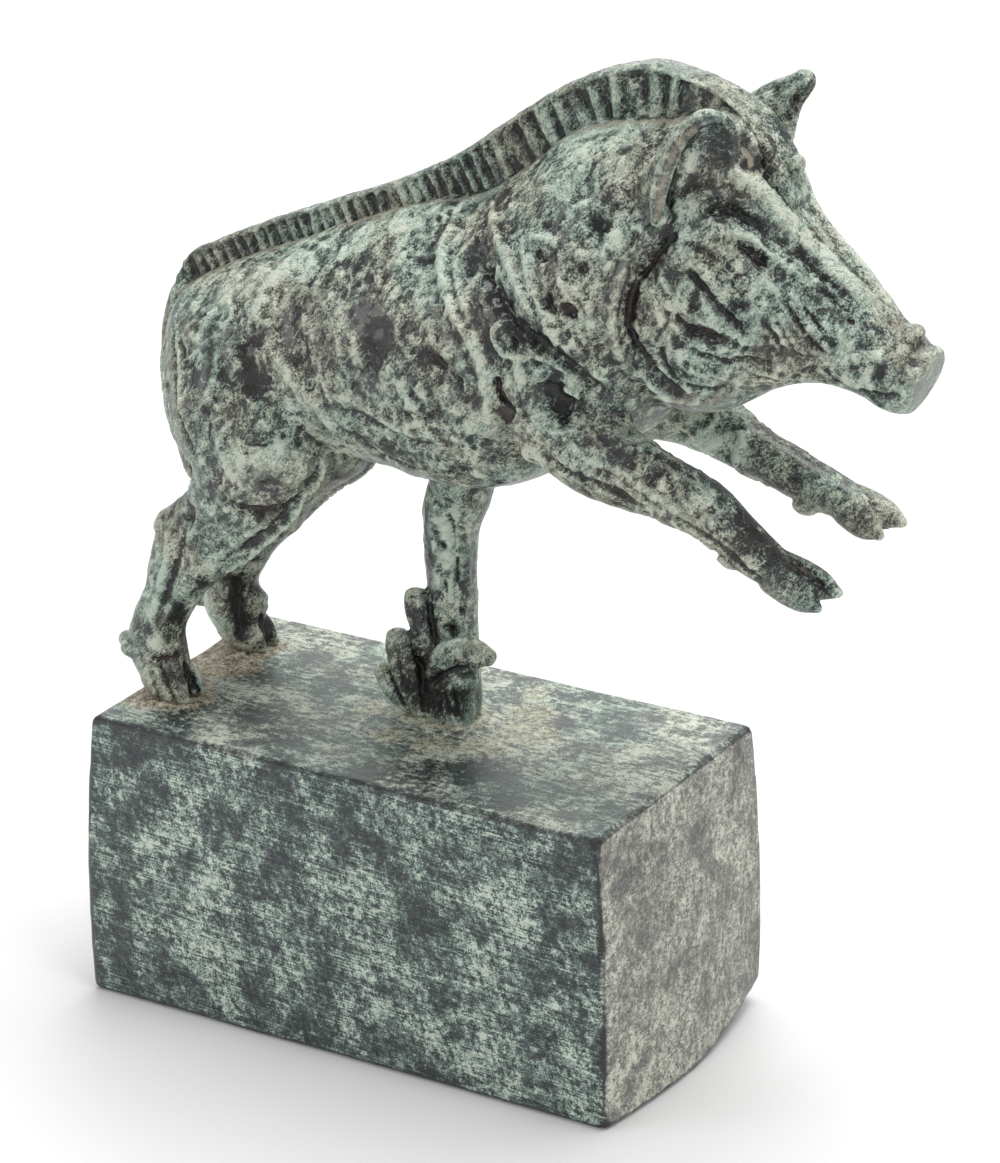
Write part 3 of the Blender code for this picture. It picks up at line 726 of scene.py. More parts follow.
class Skin:
    """The wax as arrays: places and normals in millimetres, and a tree to find the nearest."""

    def __init__(self, data):
        self.places = vertex_array(data)
        self.normals = vertex_array(data, "normal")
        self.lift = np.zeros(len(self.places))
        self.tree = KDTree(len(self.places))
        for index, place in enumerate(self.places):
            self.tree.insert(place, index)
        self.tree.balance()

    def drop(self, points):
        """The nearest vertex to each point."""
        return np.array([self.tree.find(point)[1] for point in points])

    def near(self, line, reach):
        low, high = line.min(axis=0) - reach, line.max(axis=0) + reach
        return np.flatnonzero(((self.places > low) & (self.places < high)).all(axis=1))

    def distance(self, path, reach):
        """Vertices within reach of a path, how far off they are, and where along it they lie."""
        rough = np.array(path, float)
        if len(rough) > 1:
            length = np.linalg.norm(np.diff(rough, axis=0), axis=1).sum()
            rough = smooth_rows(rough, max(int(length / STROKE_STEP), 3))
        hits = self.drop(rough)
        line, facing = self.places[hits], self.normals[hits]
        some = self.near(line, reach)
        away = np.full(len(some), np.inf)
        along = np.zeros(len(some))
        for step, (place, normal) in enumerate(zip(line, facing)):
            gap = np.linalg.norm(self.places[some] - place, axis=1)
            gap[self.normals[some] @ normal < SAME_FACING] = np.inf
            closer = gap < away
            away[closer] = gap[closer]
            along[closer] = step / max(len(line) - 1, 1)
        reached = away < reach
        return some[reached], away[reached], along[reached]

    def stroke(self, path, half_width, lift, steepness=1.0, fade=END_FADE):
        """Raises the skin along a path, or cuts it if lift is below zero."""
        some, away, along = self.distance(path, half_width * REACH)
        shape = np.exp(-((away / half_width) ** (2 * steepness)))
        if len(path) > 1 and fade > 0:
            shape *= np.clip(np.minimum(along, 1 - along) / fade, 0, 1) ** 0.7
        self.lift[some] += lift * shape

    def mark(self, values, path, half_width, strength=1.0, power=2):
        """Raises values along a path up to a strength. The stronger of two marks counts."""
        some, away, _ = self.distance(path, half_width * REACH)
        values[some] = np.maximum(values[some], strength * np.exp(-((away / half_width) ** power)))

    def apply(self):
        """Moves every vertex by its lift, and starts again from there."""
        self.places += self.normals * self.lift[:, None]
        self.lift[:] = 0.0


wax_skin = Skin(wax)
print("wax:", len(wax_skin.places), "vertices")

# %% [markdown]
# ## The boar's folds and muscles
#
# The big folds make it this boar and no other: a rope-like collar that runs from the
# withers to the throat with a deep groove below it, a ruff that stands proud round the
# cheek, a web of ridges between the two, hollows on the shoulder like spoon marks, a skin
# fold from the belly to the hock, and heavy brows over small eyes. They are written for
# the right flank. The left flank gets the same folds a little fainter.

# %% Folds of the neck and the shoulder
# Each row: path, half width, lift and, where the edges are steeper than soft, steepness.
NECK = [
    ([(22, -8, 181.5), (24.8, -12.1, 179.3), (28.4, -17.5, 177.2), (32.9, -21.7, 174),
      (38.5, -24, 168.3), (45.5, -25, 162.1), (50.9, -23.6, 156.7), (55, -18.5, 151.5)], 1.1, 1.0),
    ([(34.5, -18, 179.5), (36.8, -20.8, 176), (40.3, -23.6, 170.3), (43.4, -24.4, 166.2),
      (46.6, -24.1, 163.5), (51.5, -23.5, 158.5), (55.5, -20, 154.5)], 0.8, 0.7),
    ([(24.5, -15.5, 175.5), (27, -19.3, 171.5), (30.1, -20.8, 168.9), (33.6, -23, 165.8),
      (38, -25, 162.6), (43.4, -25.5, 158.8), (47.8, -24.2, 155.2), (51.6, -21, 151.6), (54, -16, 149)],
     1.5, -2.2, 1.2),
    ([(15.8, -8.4, 177.6), (15, -13, 173.4), (16.3, -16.8, 169.3), (18.9, -20.1, 165.8),
      (22.9, -23.9, 162), (26.8, -25.1, 158.8), (29.6, -25.7, 155.5), (30.7, -25, 151),
      (31.2, -25, 147), (31, -24.3, 142.5), (32.2, -22.9, 139)], 1.3, 1.2),
    ([(23, -14.5, 176), (20.6, -16.7, 173.2), (20, -18.5, 170.3), (22, -21.2, 166.8),
      (25.5, -23, 163.3), (29, -24.5, 159.5)], 0.7, 0.6),
    ([(22.6, -18, 172.5), (23.6, -20.5, 168.5)], 1.4, -1.2, 1.6),
    ([(26.2, -22.5, 165.4), (29.8, -24.5, 161.4), (32, -25, 157.5), (33.4, -25, 154.5)],
     1.3, -0.8, 1.6),
    ([(25.7, -21, 166.6), (26.8, -20.4, 169.6), (29.2, -20, 170.2), (31.6, -21.5, 168.1)], 0.7, 0.9),
    ([(38.4, -24.5, 160.6), (35.4, -24.5, 162.6), (33, -24.6, 160.8), (33.2, -24.8, 157.9),
      (35.7, -24.7, 156.2), (39.6, -23.6, 156.6)], 0.75, 1.0),
    ([(36, -24.6, 159.4), (38.2, -24.2, 158.6)], 0.9, -1.0, 1.2),
    ([(40, -23.3, 155.6), (43, -21.8, 155), (46.4, -20.2, 153)], 0.8, -0.9, 1.2),
    ([(37.5, -24.1, 156.4), (38, -24, 153.2), (38.4, -23.2, 149.6), (39.8, -22, 145.6),
      (43.2, -22, 142.6), (47.4, -22, 142.2), (50.4, -20, 144.2)], 0.9, 1.0),
    ([(42.8, -22.6, 152), (44.2, -22, 148.4), (47.8, -20.8, 145.8)], 2.6, -1.5, 1.6),
    ([(46, -21.5, 150.6), (49.2, -19.6, 149.4)], 1.0, 1.2, 1.2),
    ([(33, -24, 151.8), (33.4, -23.4, 148.3), (35, -22.6, 145), (36.6, -22, 144)], 0.7, -1.6, 1.2),
    ([(35.6, -24.2, 153.8), (36, -23.2, 150), (37.2, -22.2, 146), (39.8, -21.9, 142.4),
      (42, -21.6, 139.8)], 0.8, 0.8),
    ([(33, -23.8, 144.9), (34.9, -23.1, 141.4)], 1.6, -1.0, 1.8),
    ([(38.6, -23, 135.4)], 2.3, 1.5, 1.4),
    ([(39.8, -22.6, 134.8)], 0.9, -1.6, 1.2),
    ([(52.2, -19.2, 183.1)], 2.3, -1.7, 1.4),
    ([(39.2, -21, 176.9), (41.8, -22.1, 174.2)], 1.2, -1.3, 1.3),
    ([(50.4, -22.3, 175.3)], 1.5, -1.1, 1.3),
    ([(43.2, -24, 169.4), (45, -24.3, 166.6)], 1.2, -1.2, 1.3),
    ([(48.2, -23.6, 168.8), (49, -23.7, 165.2)], 1.4, -1.3, 1.3),
    ([(45.9, -22.6, 175.4), (46.2, -22.9, 172.5), (49.8, -23.1, 170.9), (52.3, -23.1, 168.3),
      (52.5, -23, 163.4)], 0.7, 0.8),
    ([(54.2, -22, 174.4), (53.1, -22.8, 170.6), (52, -23.2, 167)], 0.7, 0.6),
    ([(36.8, -19.9, 178.3), (40.4, -20.2, 179.2), (44.8, -21.4, 177.9), (46.2, -22.3, 174.9)],
     0.7, 0.7),
    ([(47, -20, 181), (49, -21.5, 178), (53.5, -21.5, 178.4), (55.5, -20, 182)], 0.8, 0.6),
    ([(40.5, -17.5, 183.5), (41.2, -19, 180.5)], 1.0, -0.6),
    ([(31, -15, 181), (33, -18, 178)], 1.2, -0.6),
]
RUFF = [
    ([(68, -15.5, 189.5), (65.8, -17.6, 187), (60.9, -18.4, 181.2), (57.3, -19.8, 174.2),
      (55.9, -21, 167), (56.8, -19.6, 159), (60.4, -16.4, 152.6), (66.4, -12.5, 148),
      (73, -10.5, 148.4)], 0.95, 1.5, 1.3),
    ([(69, -17, 185.6), (64, -18.2, 179.6), (60.3, -18.8, 173.2), (58.8, -18.9, 166.8),
      (59.6, -18.2, 160.5), (62.6, -15.6, 154.6), (67.6, -12.4, 150.4)], 0.8, -1.5, 1.2),
    ([(67.5, -17.6, 184), (63.6, -18.4, 178.4), (61.4, -18.8, 172.6)], 2.0, -1.1, 1.6),
    ([(58.6, -19, 164.6), (60.6, -18.6, 164)], 1.0, 0.9, 1.2),
]
print("neck and ruff strokes:", len(NECK) + len(RUFF))

# %% Head, flank and legs
FACE = [
    ([(72.6, -15.6, 192.6), (76, -12.4, 194.6), (81.1, -8, 191.5), (84.1, -6.6, 187.6),
      (87.5, -5.4, 183.9), (90.4, -4.6, 181), (94.4, -4, 177), (99.1, -3, 172.6), (104, -2.4, 167.9)],
     1.9, 1.1, 1.5),
    ([(71, -16, 189.4), (74.8, -14.6, 189.2), (79, -12.3, 187.4), (83.3, -9.9, 183.8)], 1.3, -1.6, 1.2),
    ([(83.3, -9.9, 183.8), (87.9, -7.6, 180.4), (92.4, -6.6, 176.4), (97, -5.6, 172.6)],
     0.9, -0.7, 1.2),
    ([(72, -15.4, 188.6), (78.6, -12.4, 187)], 1.6, -0.7, 1.3),
    ([(73.5, -16, 184.6), (78.5, -13.6, 183.8), (83.5, -11.4, 181), (88, -9.6, 177.6),
      (92, -8.6, 174.6)], 0.8, 0.6),
    ([(77, -14.4, 183.4), (79.6, -13.4, 184), (82.6, -12.6, 182.4), (85.8, -11.8, 179.4)], 0.6, 0.8),
    ([(78.4, -14.6, 182.4), (81.6, -13.6, 181), (84.8, -12.8, 178.4)], 0.9, -1.3, 1.1),
    ([(82.4, -13.4, 180.5)], 0.6, 0.5),
    ([(84, -13.8, 174), (82.4, -14.8, 171.8), (79.6, -15.8, 170.9), (77.4, -16.2, 172.4)], 0.7, -0.8),
    ([(84.8, -13.2, 171.6), (82.6, -14.6, 169.4), (79, -15.8, 168.9)], 0.7, 0.7),
    ([(69, -18, 176.6), (72.2, -17.6, 175.2), (75.3, -16.9, 171.4), (78, -15.9, 168.3),
      (80.9, -14.8, 165.6)], 0.85, -1.2, 1.1),
    ([(70, -18, 178.6), (73.6, -17.4, 177.2), (76.2, -16.6, 173.4)], 0.8, 0.8),
    ([(66.6, -18.3, 168.8), (70, -17.6, 165.6), (73.7, -16.4, 164), (77.4, -15.6, 163.4)],
     0.85, -1.3, 1.1),
    ([(67.6, -18.2, 171.6), (71, -17.6, 168.8), (75, -16.6, 166.8), (79.4, -15.4, 164.4),
      (83, -14, 162)], 0.8, 0.9),
    ([(68.6, -17.9, 181.6), (73, -17.1, 181.2), (76.6, -16, 178.4)], 0.8, -0.8),
    ([(65.4, -17.5, 162.4), (64.6, -16.2, 157.6), (67, -14.2, 153.4), (71.6, -12.6, 151.8),
      (76, -12, 152.6)], 0.7, -0.8),
    ([(68.4, -16.6, 161.4), (68.6, -16, 157.4), (72, -14.8, 155.6), (76.6, -13.8, 155.6)], 0.7, 0.7),
    ([(70.1, -16.5, 160.9), (73.4, -15.4, 159.6), (77, -14.4, 158.6), (81.3, -13.2, 159.4),
      (85, -12, 159)], 0.75, -1.0, 1.1),
    ([(75, -15.6, 162), (79, -14.8, 161.2), (83, -13.6, 160.6)], 0.7, 0.6),
    ([(83.4, -14, 168.8), (86, -13.2, 166), (87.6, -12.2, 161.4)], 0.6, -0.8),
    ([(87.4, -12, 172.8), (90.2, -11.6, 168.4), (93.2, -10.8, 164.2), (96.2, -9.9, 161.8)], 0.55, -0.9),
    ([(90, -11, 172.4), (93.4, -10.4, 168.4), (97.2, -9.7, 165.2)], 0.5, -0.7),
    ([(86.6, -12.6, 170.2), (88.8, -12, 165.8), (91.6, -11, 161.4)], 0.5, 0.6),
    ([(91.2, -8.4, 174.8), (95.4, -7.2, 172.6), (99, -6.2, 169.6)], 0.65, -0.7),
    ([(99.2, -7.4, 168.7)], 0.7, -1.2, 1.2),
    ([(105.1, -7, 162.8)], 1.05, 1.2, 1.3),
    ([(100.9, -8.8, 162.4)], 0.95, 0.5, 1.3),
    ([(79.4, -5, 194.6), (82.4, -4.4, 191.4)], 1.5, -1.1, 1.3),
    ([(80.2, -5, 195.4)], 0.9, -1.0, 1.2),
    ([(84.6, -4, 192.2)], 0.8, -1.2, 1.2),
    ([(109.6, -6.6, 156), (105, -7.2, 155.2), (99.6, -7, 155.8)], 0.55, -0.7),
    ([(106, -6, 161), (104.4, -7, 157.6), (104.6, -6, 153.6)], 0.9, -0.5),
]
FLANK = [
    ([(-7, -20.4, 155.2), (-3.6, -22.5, 151.4), (-2.7, -23.3, 147.7), (-0.8, -23.5, 145.2),
      (-0.4, -23.3, 142.2), (2.6, -23.4, 140.9), (6, -23.7, 141.3)], 0.55, 0.6),
    ([(8.2, -24.6, 149.6), (10.6, -24.8, 147), (12.2, -24.8, 144.6)], 0.5, 0.6),
    ([(12.6, -24.5, 142.9), (16.2, -24.5, 142.1)], 1.3, 1.0, 1.4),
    ([(15.3, -25, 147.2), (18.2, -25, 144.6)], 1.0, 0.8, 1.4),
    ([(10.6, -24.5, 140.6), (14.4, -24.4, 139.2), (18.6, -24.5, 140.6), (20.6, -24.8, 143.8)],
     0.7, -0.9),
    ([(-7.4, -21.6, 138.3), (-2.3, -22.7, 140.3), (1.5, -23, 139.7), (5.5, -23.1, 138),
      (9.4, -23.1, 136.4), (14.7, -23.3, 135.8), (20, -23.4, 136.8)], 0.8, 0.7),
    ([(-4.4, -21.6, 137.2), (0.5, -22.6, 137.2), (5, -22.7, 135.6), (10, -22.6, 133.8),
      (16, -22.6, 133.2)], 0.8, -0.8),
    ([(-6, -19.8, 132.6), (-0.6, -18.6, 129.6), (3.4, -17.6, 127.5), (7.6, -16.7, 126.3),
      (13, -15.9, 125)], 0.8, -0.8),
    ([(-20, -20.6, 147.4), (-15.7, -21.1, 142.6), (-11.2, -20.8, 138.6), (-8.7, -20.5, 135),
      (-7, -18.6, 130.4)], 1.5, 0.9),
    ([(-27, -20, 149), (-24.6, -21.8, 142.6), (-22, -21.8, 137)], 3.2, -1.5, 1.3),
    ([(-21, -8.5, 163), (-24, -13.2, 158.6), (-25.6, -16.5, 154.4), (-24.7, -19.6, 149.9)], 1.6, 0.7),
    ([(-18, -15.5, 157), (-17, -19, 150), (-12, -21, 144), (-7, -21.6, 141)], 3.4, -1.1, 1.2),
    ([(4, -22.5, 158), (6, -24, 152), (3, -23.8, 146)], 3.0, -0.9, 1.3),
    ([(10.1, -20.8, 161.4), (11.7, -24, 154.6), (15.7, -24.8, 151.5)], 0.8, 0.6),
    ([(18, -24.9, 154.5), (22, -25.2, 151.5), (26.4, -25.4, 147.9)], 0.9, -0.8),
    ([(17, -22.4, 161), (19, -24.6, 156), (23.6, -25.2, 153.2)], 0.8, 0.6),
    ([(-52, -10.8, 144.6), (-47.4, -16.9, 138.9), (-44.4, -20.3, 133.2), (-41, -22.3, 127.4),
      (-37, -23.6, 122)], 0.7, -0.9),
    ([(-49.6, -12.6, 145.4), (-44.6, -18.9, 138.9), (-41.4, -21.6, 132), (-37.4, -23.4, 125.4)],
     0.9, 0.7),
    ([(-36, -16, 154), (-32.8, -18, 152.2), (-33.4, -19.4, 149.2), (-36.4, -18.8, 150)], 0.8, 0.7),
    ([(-33.8, -21, 145), (-33.6, -22.6, 139.5), (-34.8, -23.8, 133)], 1.0, 0.6),
    ([(-28.3, -23.6, 131), (-30.8, -24.6, 126.4), (-29, -24.4, 121.6), (-28.6, -24.2, 117.4)],
     0.9, 0.7),
    ([(-22.5, -22.4, 126.5), (-19.8, -21.9, 120)], 4.6, 1.1, 1.4),
    ([(-30.5, -23, 112.8), (-26.7, -23.2, 112.4), (-22.4, -22, 112), (-18, -19.4, 113.4),
      (-14.5, -16.6, 117)], 1.1, -1.5, 1.2),
    ([(-7.4, -13, 127.6), (-11.8, -15.4, 121.2), (-15.2, -16.6, 115.6), (-19, -16.9, 110.3),
      (-23.8, -17.8, 105), (-31, -17.1, 98.6), (-38, -16, 94.6)], 0.6, 1.3),
    ([(-9.6, -15.8, 123.2), (-14.6, -18.2, 116.6), (-19.4, -18.9, 111), (-25.4, -19.2, 106),
      (-33, -18.8, 100.4)], 0.7, -0.9),
    ([(-14, -18.8, 119), (-19.2, -20.2, 113.2), (-25, -20.6, 108.2), (-32.4, -20.2, 102.8)], 0.7, 0.7),
]
LIMBS = [
    ([(-44, -20.6, 108.6), (-46.8, -20.6, 103), (-48, -20.2, 96), (-50.6, -19.6, 88),
      (-53.4, -19.2, 80.6)], 0.8, 0.8),
    ([(-42, -20.4, 104.6), (-44.4, -20, 98), (-47.4, -19.4, 91), (-50, -19, 84)], 0.8, -0.9),
    ([(-40, -20, 110), (-41.6, -20.4, 105.6)], 1.8, -0.9, 1.3),
    ([(-49.6, -18.6, 103.8), (-52.6, -17.6, 101)], 1.4, 0.7, 1.2),
    ([(-36.6, -21, 113), (-38, -21.2, 107.6), (-42.4, -20.4, 101)], 0.8, 0.6),
    ([(-51.4, -20, 76.8)], 1.9, 0.9, 1.2),
    ([(-53, -20.4, 73), (-48.6, -19.6, 73.4), (-47, -16, 73.8)], 0.6, -0.9),
    ([(-48.2, -14.6, 72), (-45.6, -15, 67.4), (-44.6, -15.2, 64.4)], 0.7, -1.5),
    ([(-51.6, -20, 74), (-50.2, -20, 71.6), (-49.1, -20, 68.6), (-47.4, -19.6, 64.6)], 0.5, -0.9),
    ([(-54, -19.6, 71.6), (-53, -19.6, 68), (-52, -19.6, 64.6)], 0.7, 0.5),
    ([(46, -22.4, 141.6), (52, -22.8, 138), (59, -22.6, 136.4), (66, -21.4, 132.6),
      (74, -20.4, 128.6)],
     0.7, 0.8),
    ([(42, -21.6, 138), (48, -22.2, 135), (56, -22.6, 133), (64, -21.2, 129.8)], 0.8, -0.8),
    ([(50, -20, 143), (56, -20.8, 140.2), (62, -20.6, 136.8)], 1.4, -0.8, 1.2),
    ([(70, -20.6, 129), (76, -20, 126), (82, -19.6, 122.6), (88, -19.4, 118.6)], 0.7, -0.9),
    ([(75, -20.2, 130.4), (78.5, -19.6, 127.6)], 1.3, 0.8, 1.2),
    ([(92, -15.4, 123), (97, -15.6, 120), (100, -15.6, 117)], 0.6, -1.2),
    ([(84, -20, 123.6), (87, -19.8, 121)], 1.0, 0.6, 1.2),
]
# Bark of the stump and the creases between the leaves. These stand on one side only.
BARK = [
    ([(7.8, 1, 115.3), (7.3, 1, 110.1), (8.2, 1, 103.5), (8.6, 1, 96.9), (7.6, 1, 88.6),
      (7.1, 1, 82.8)], 0.8, -0.9, 1.1),
    ([(10.8, 1, 104), (10.2, 1, 97.2), (10.9, 1, 90.6), (10.6, 1, 84)], 0.6, -0.9),
    ([(13.4, 2, 108), (12.1, 2, 100.9), (12.8, 2, 93.2), (13.2, 2, 85.4)], 0.9, 0.6),
    ([(12, 1.6, 98), (12, 1.6, 92), (12.2, 1.6, 86)], 0.4, -0.6),
    ([(4.3, 1, 112.9), (3, 1, 106), (3.6, 1, 98.1), (3.2, 1, 90)], 1.0, 0.7),
    ([(6.2, 1, 108.6), (5.6, 1, 106)], 1.3, 0.8, 1.4),
    ([(5.4, 1, 102.4)], 0.9, -1.1, 1.4),
    ([(5.8, 1, 99), (5.6, 1, 94)], 0.8, 0.5, 1.2),
    ([(5.6, 1, 96.6), (5.8, 1, 90), (6.2, 1, 86)], 0.6, -0.8),
    ([(6, 12, 116), (5, 12, 100), (5.5, 12, 86)], 0.9, -0.9, 1.1),
    ([(9, 11.4, 112), (8, 11.4, 98), (8.6, 11.4, 84)], 0.8, 0.6),
    ([(0.4, 6, 112), (-1.4, 6.2, 100), (-0.6, 6.2, 90)], 0.7, -0.7),
    ([(5.9, 1, 83.4), (8.2, 1, 84), (11.1, 1, 84.6)], 1.2, -1.1, 1.3),
    ([(-7.1, 0, 73.3), (-5, 0, 68.8), (-3, 0, 65.4)], 0.45, -0.6),
    ([(-2.2, 0, 80.6), (-1, 0, 77.5), (1.1, 0, 75.1)], 0.45, -0.8),
    ([(1.2, 0, 75.3), (0.6, 0, 70), (0.4, 0, 65)], 0.5, -0.5),
    ([(1, 2.5, 90), (1.6, 2, 86.6), (2.4, 1.6, 83.4), (3.8, 1.2, 80.4)], 0.5, -0.6),
    ([(3.4, -1, 71.6), (4.6, -1.2, 73.6), (7.4, -2, 76.2), (10.2, -2.2, 77.8), (13.6, -2, 78.9)],
     0.6, -1.0, 1.1),
    ([(5.4, -1, 78.4), (8.6, -1.6, 82.6), (12, -1.6, 84.6), (15.6, -0.8, 84)], 0.45, 0.4),
    ([(-51.4, 10.4, 82), (-50.8, 10.4, 73.3), (-50.4, 10.4, 66)], 1.4, -0.9, 1.2),
    ([(7.3, -1.5, 72.3), (7.5, -1.5, 69), (7.7, -1.5, 66.2)], 0.38, -0.6),
    ([(9.2, -1.5, 73.6), (9.4, -1.5, 70.1), (9.6, -1.5, 66.4)], 0.38, -0.6),
    ([(3.6, -0.5, 71), (3.8, -0.5, 68), (4.2, -0.5, 65.4)], 0.38, -0.6),
    ([(5.4, -1.5, 72), (5.6, -1.5, 69), (5.9, -1.5, 65.8)], 0.38, -0.6),
    ([(2, -0.5, 70.6), (2.1, -0.5, 68), (2.4, -0.5, 65.4)], 0.38, -0.5),
    ([(-4.4, -2, 80.6), (-3.4, -2, 75), (-2.2, -2, 70)], 0.4, -0.35),
    ([(-1, -1, 88), (-0.6, -1, 84), (0.2, -1, 80.6)], 0.4, -0.35),
]
# The groove inside an ear: how near its rear edge, where it starts and ends, and its stroke.
EAR_GROOVE = (0.62, 0.06, 0.86)
EAR_GROOVE_STROKE = (0.7, -0.9, 1.1)
print("strokes on head, flank and legs:", len(FACE) + len(FLANK) + len(LIMBS))
print("strokes on the stump:", len(BARK))

# %% Press them all into the wax
LEFT_STRENGTH = 0.85
EYE = np.array((80.4, -15.2, 175.2))
# Radius of the ring, half width, lift, steepness.
EYE_RINGS = [(0.0, 1.3, 0.1, 3.0), (1.75, 0.35, -0.35, 1.0)]


def other_side(path):
    return [(x, -y, z) for x, y, z in path]


def press_folds(skin):
    """All strokes of the tables, with the bark on one side only, and a groove in each ear."""
    for path, half_width, lift, *steep in NECK + RUFF + FACE + FLANK + LIMBS:
        skin.stroke(path, half_width, lift, *steep)
        skin.stroke(other_side(path), half_width, lift * LEFT_STRENGTH, *steep)
    for path, *shape in BARK:
        skin.stroke(path, *shape)
    for ear in EARS:
        skin.stroke(ear_line(ear, *EAR_GROOVE), *EAR_GROOVE_STROKE)


def press_eye(skin, centre):
    """A small raised disc with a fine groove round it."""
    for radius, half_width, lift, steepness in EYE_RINGS:
        circle = [centre]
        if radius:
            turns = np.linspace(0, 2 * math.pi, 17)
            circle = [centre + radius * np.array((math.cos(t), 0, math.sin(t))) for t in turns]
        skin.stroke(circle, half_width, lift, steepness, fade=0)


press_folds(wax_skin)
press_eye(wax_skin, EYE)
press_eye(wax_skin, EYE * (1, -1, 1))
folds = wax_skin.lift.copy()
wax_skin.apply()
print("highest lift", round(float(folds.max()), 2), "deepest cut", round(float(folds.min()), 2), "mm")

# %% [markdown]
# ## Thumb strokes and clay texture
#
# Between the folds the wax is alive with small dabs: worm-like strokes a millimetre wide,
# lumps and fine crumbs. A seeded scatter drags short curved strokes across the skin, and
# two layers of smooth random lumps go over it. Where the wax was left smooth, on polished
# swellings, the snout and the feet, the texture fades out.

# %% Random lumps that repeat on every run
LUMP_GRID = 32
# The grid is turned, so that its rows don't line up with the body, and shifted clear of zero.
GRID_TILT = np.array([(0.80, 0.36, -0.48), (-0.60, 0.48, -0.64), (0.0, 0.80, 0.60)])
GRID_SHIFT = 500.0


def lumps(places, size, seed, stretch=(1.0, 1.0, 1.0)):
    """Soft lumps about size millimetres across, from -1 to 1: random values on a grid, blended."""
    table = np.random.default_rng(seed).uniform(-1, 1, (LUMP_GRID,) * 3)
    cell = (places * stretch) @ GRID_TILT.T / size + GRID_SHIFT
    low = np.floor(cell).astype(int)
    share = cell - low
    share = share * share * (3 - 2 * share)
    total = np.zeros(len(places))
    for corner in itertools.product((0, 1), repeat=3):
        weight = np.prod(np.where(corner, share, 1 - share), axis=1)
        index = (low + corner) % LUMP_GRID
        total += weight * table[index[:, 0], index[:, 1], index[:, 2]]
    return total


def warped(places, size, amount, seed):
    """Places pushed about by lumps, which turns straight bands into wandering ones."""
    push = [lumps(places, size, seed + axis) for axis in range(3)]
    return places + amount * np.stack(push, axis=1)


print("lumps:", lumps(np.array([(0.0, 0.0, 0.0), (5.0, 0.0, 0.0)]), 4.0, 1).round(2))

# %% Smooth and textured areas
POLISHED = [
    ([(-20.5, -22.6, 118)], 4.6),
    ([(4, -23.5, 144)], 3.0),
    ([(0, -20, 157), (8, -22, 155)], 2.6),
    ([(23, -19, 171)], 2.0),
    ([(28, -23.5, 163.5), (32, -25, 156.5)], 1.5),
    ([(39.4, -23, 148)], 2.4),
    ([(-37, -22, 140), (-38.5, -22.5, 130)], 2.2),
    ([(34, -23.3, 143.4)], 1.6),
    ([(-40.6, -20.6, 107.6)], 2.0),
    ([(52, -21, 142.4), (58, -21, 139)], 2.2),
    ([(18, -20, 130), (6, -19.5, 131)], 2.0),
    ([(65.8, -17.6, 187), (60.9, -18.4, 181.2), (57.3, -19.8, 174.2), (55.9, -21, 167),
      (56.8, -19.6, 159), (60.4, -16.4, 152.6)], 0.9),
    ([(14, 4, 112), (12.8, 4, 101), (13.4, 4, 92)], 0.8),
]
RIM_SHINE = 0.6
RIM_START = 0.05
RAGGED_POLISH = (3.0, 41)
# Calmer zones: from x, to x, from z, to z, and the share of the texture that is left there.
CALM_ZONES = {
    "hind feet": (-99, -30, 0, 76, 0.2),
    "fore feet": (78, 199, 0, 130, 0.3),
    "ears and brow": (-99, 199, 190, 299, 0.8),
    "snout": (104, 199, 0, 299, 0.5),
    "leaves": (-14, 22, 0, 90, 0.15),
}
POLISH_CALMS = 0.85


def polish_of(skin):
    """1 where the wax was smoothed by a thumb, 0 where it is rough."""
    polish = np.zeros(len(skin.places))
    for path, half_width in POLISHED:
        skin.mark(polish, path, half_width, power=3)
        skin.mark(polish, other_side(path), half_width, power=3)
    for ear in EARS:
        for k, radius in ((1.0, REAR_RIM_RADIUS), (-1.0, FRONT_RIM_RADIUS)):
            skin.mark(polish, ear_line(ear, k, RIM_START, 1.0), radius * RIM_SHINE, power=3)
    return np.clip(polish * (1.15 + 0.5 * lumps(skin.places, *RAGGED_POLISH)), 0, 1)


def roughness_of(skin):
    """How strongly the clay texture shows: less on feet, ears, leaves and the snout's disc."""
    x, _, z = skin.places.T
    rough = np.ones(len(x))
    for x_from, x_to, z_from, z_to, left in CALM_ZONES.values():
        rough[(x > x_from) & (x < x_to) & (z > z_from) & (z < z_to)] *= left
    return rough


wax_skin.normals = vertex_array(wax, "normal")
polish = polish_of(wax_skin)
rough = roughness_of(wax_skin) * (1 - POLISH_CALMS * polish)
print("polished share", round(float(polish.mean()), 2))

# %% Dabs and lumps
DAB_SEED = 11
DAB_COUNT = 760
DAB_LENGTHS = (2.5, 7.0)
DAB_HALF_WIDTHS = (0.45, 1.0)
DAB_LIFT = 0.45
DAB_SIGNS = (-0.8, 1.0, 1.0)
DAB_LEAN = (-125, -45)
DAB_BEND = 0.25
DAB_STEPS = 4
# Dabs start on the sides of the body, above the legs, where the texture is strong.
DAB_SIDEWAYS, DAB_ABOVE, DAB_ROUGH = 0.35, 112, 0.5

# Texture layers: size of the lumps in millimetres, seed and, for some, a stretch.
BROAD_LUMPS, BROAD_LIFT = (7.0, 1), 0.26
WORM_WANDER = (5.0, 2.4, 60)
WILD_AREAS = (11.0, 3)
WORM_BANDS, WORM_LIFT = (3.2, 5, (1.3, 1.3, 0.7)), 0.20
WORM_LUMPS, WORM_LUMP_LIFT = (1.8, 9, (1.2, 1.2, 0.8)), 0.09
CRUMBS, CRUMB_LIFT = (0.9, 23), 0.04


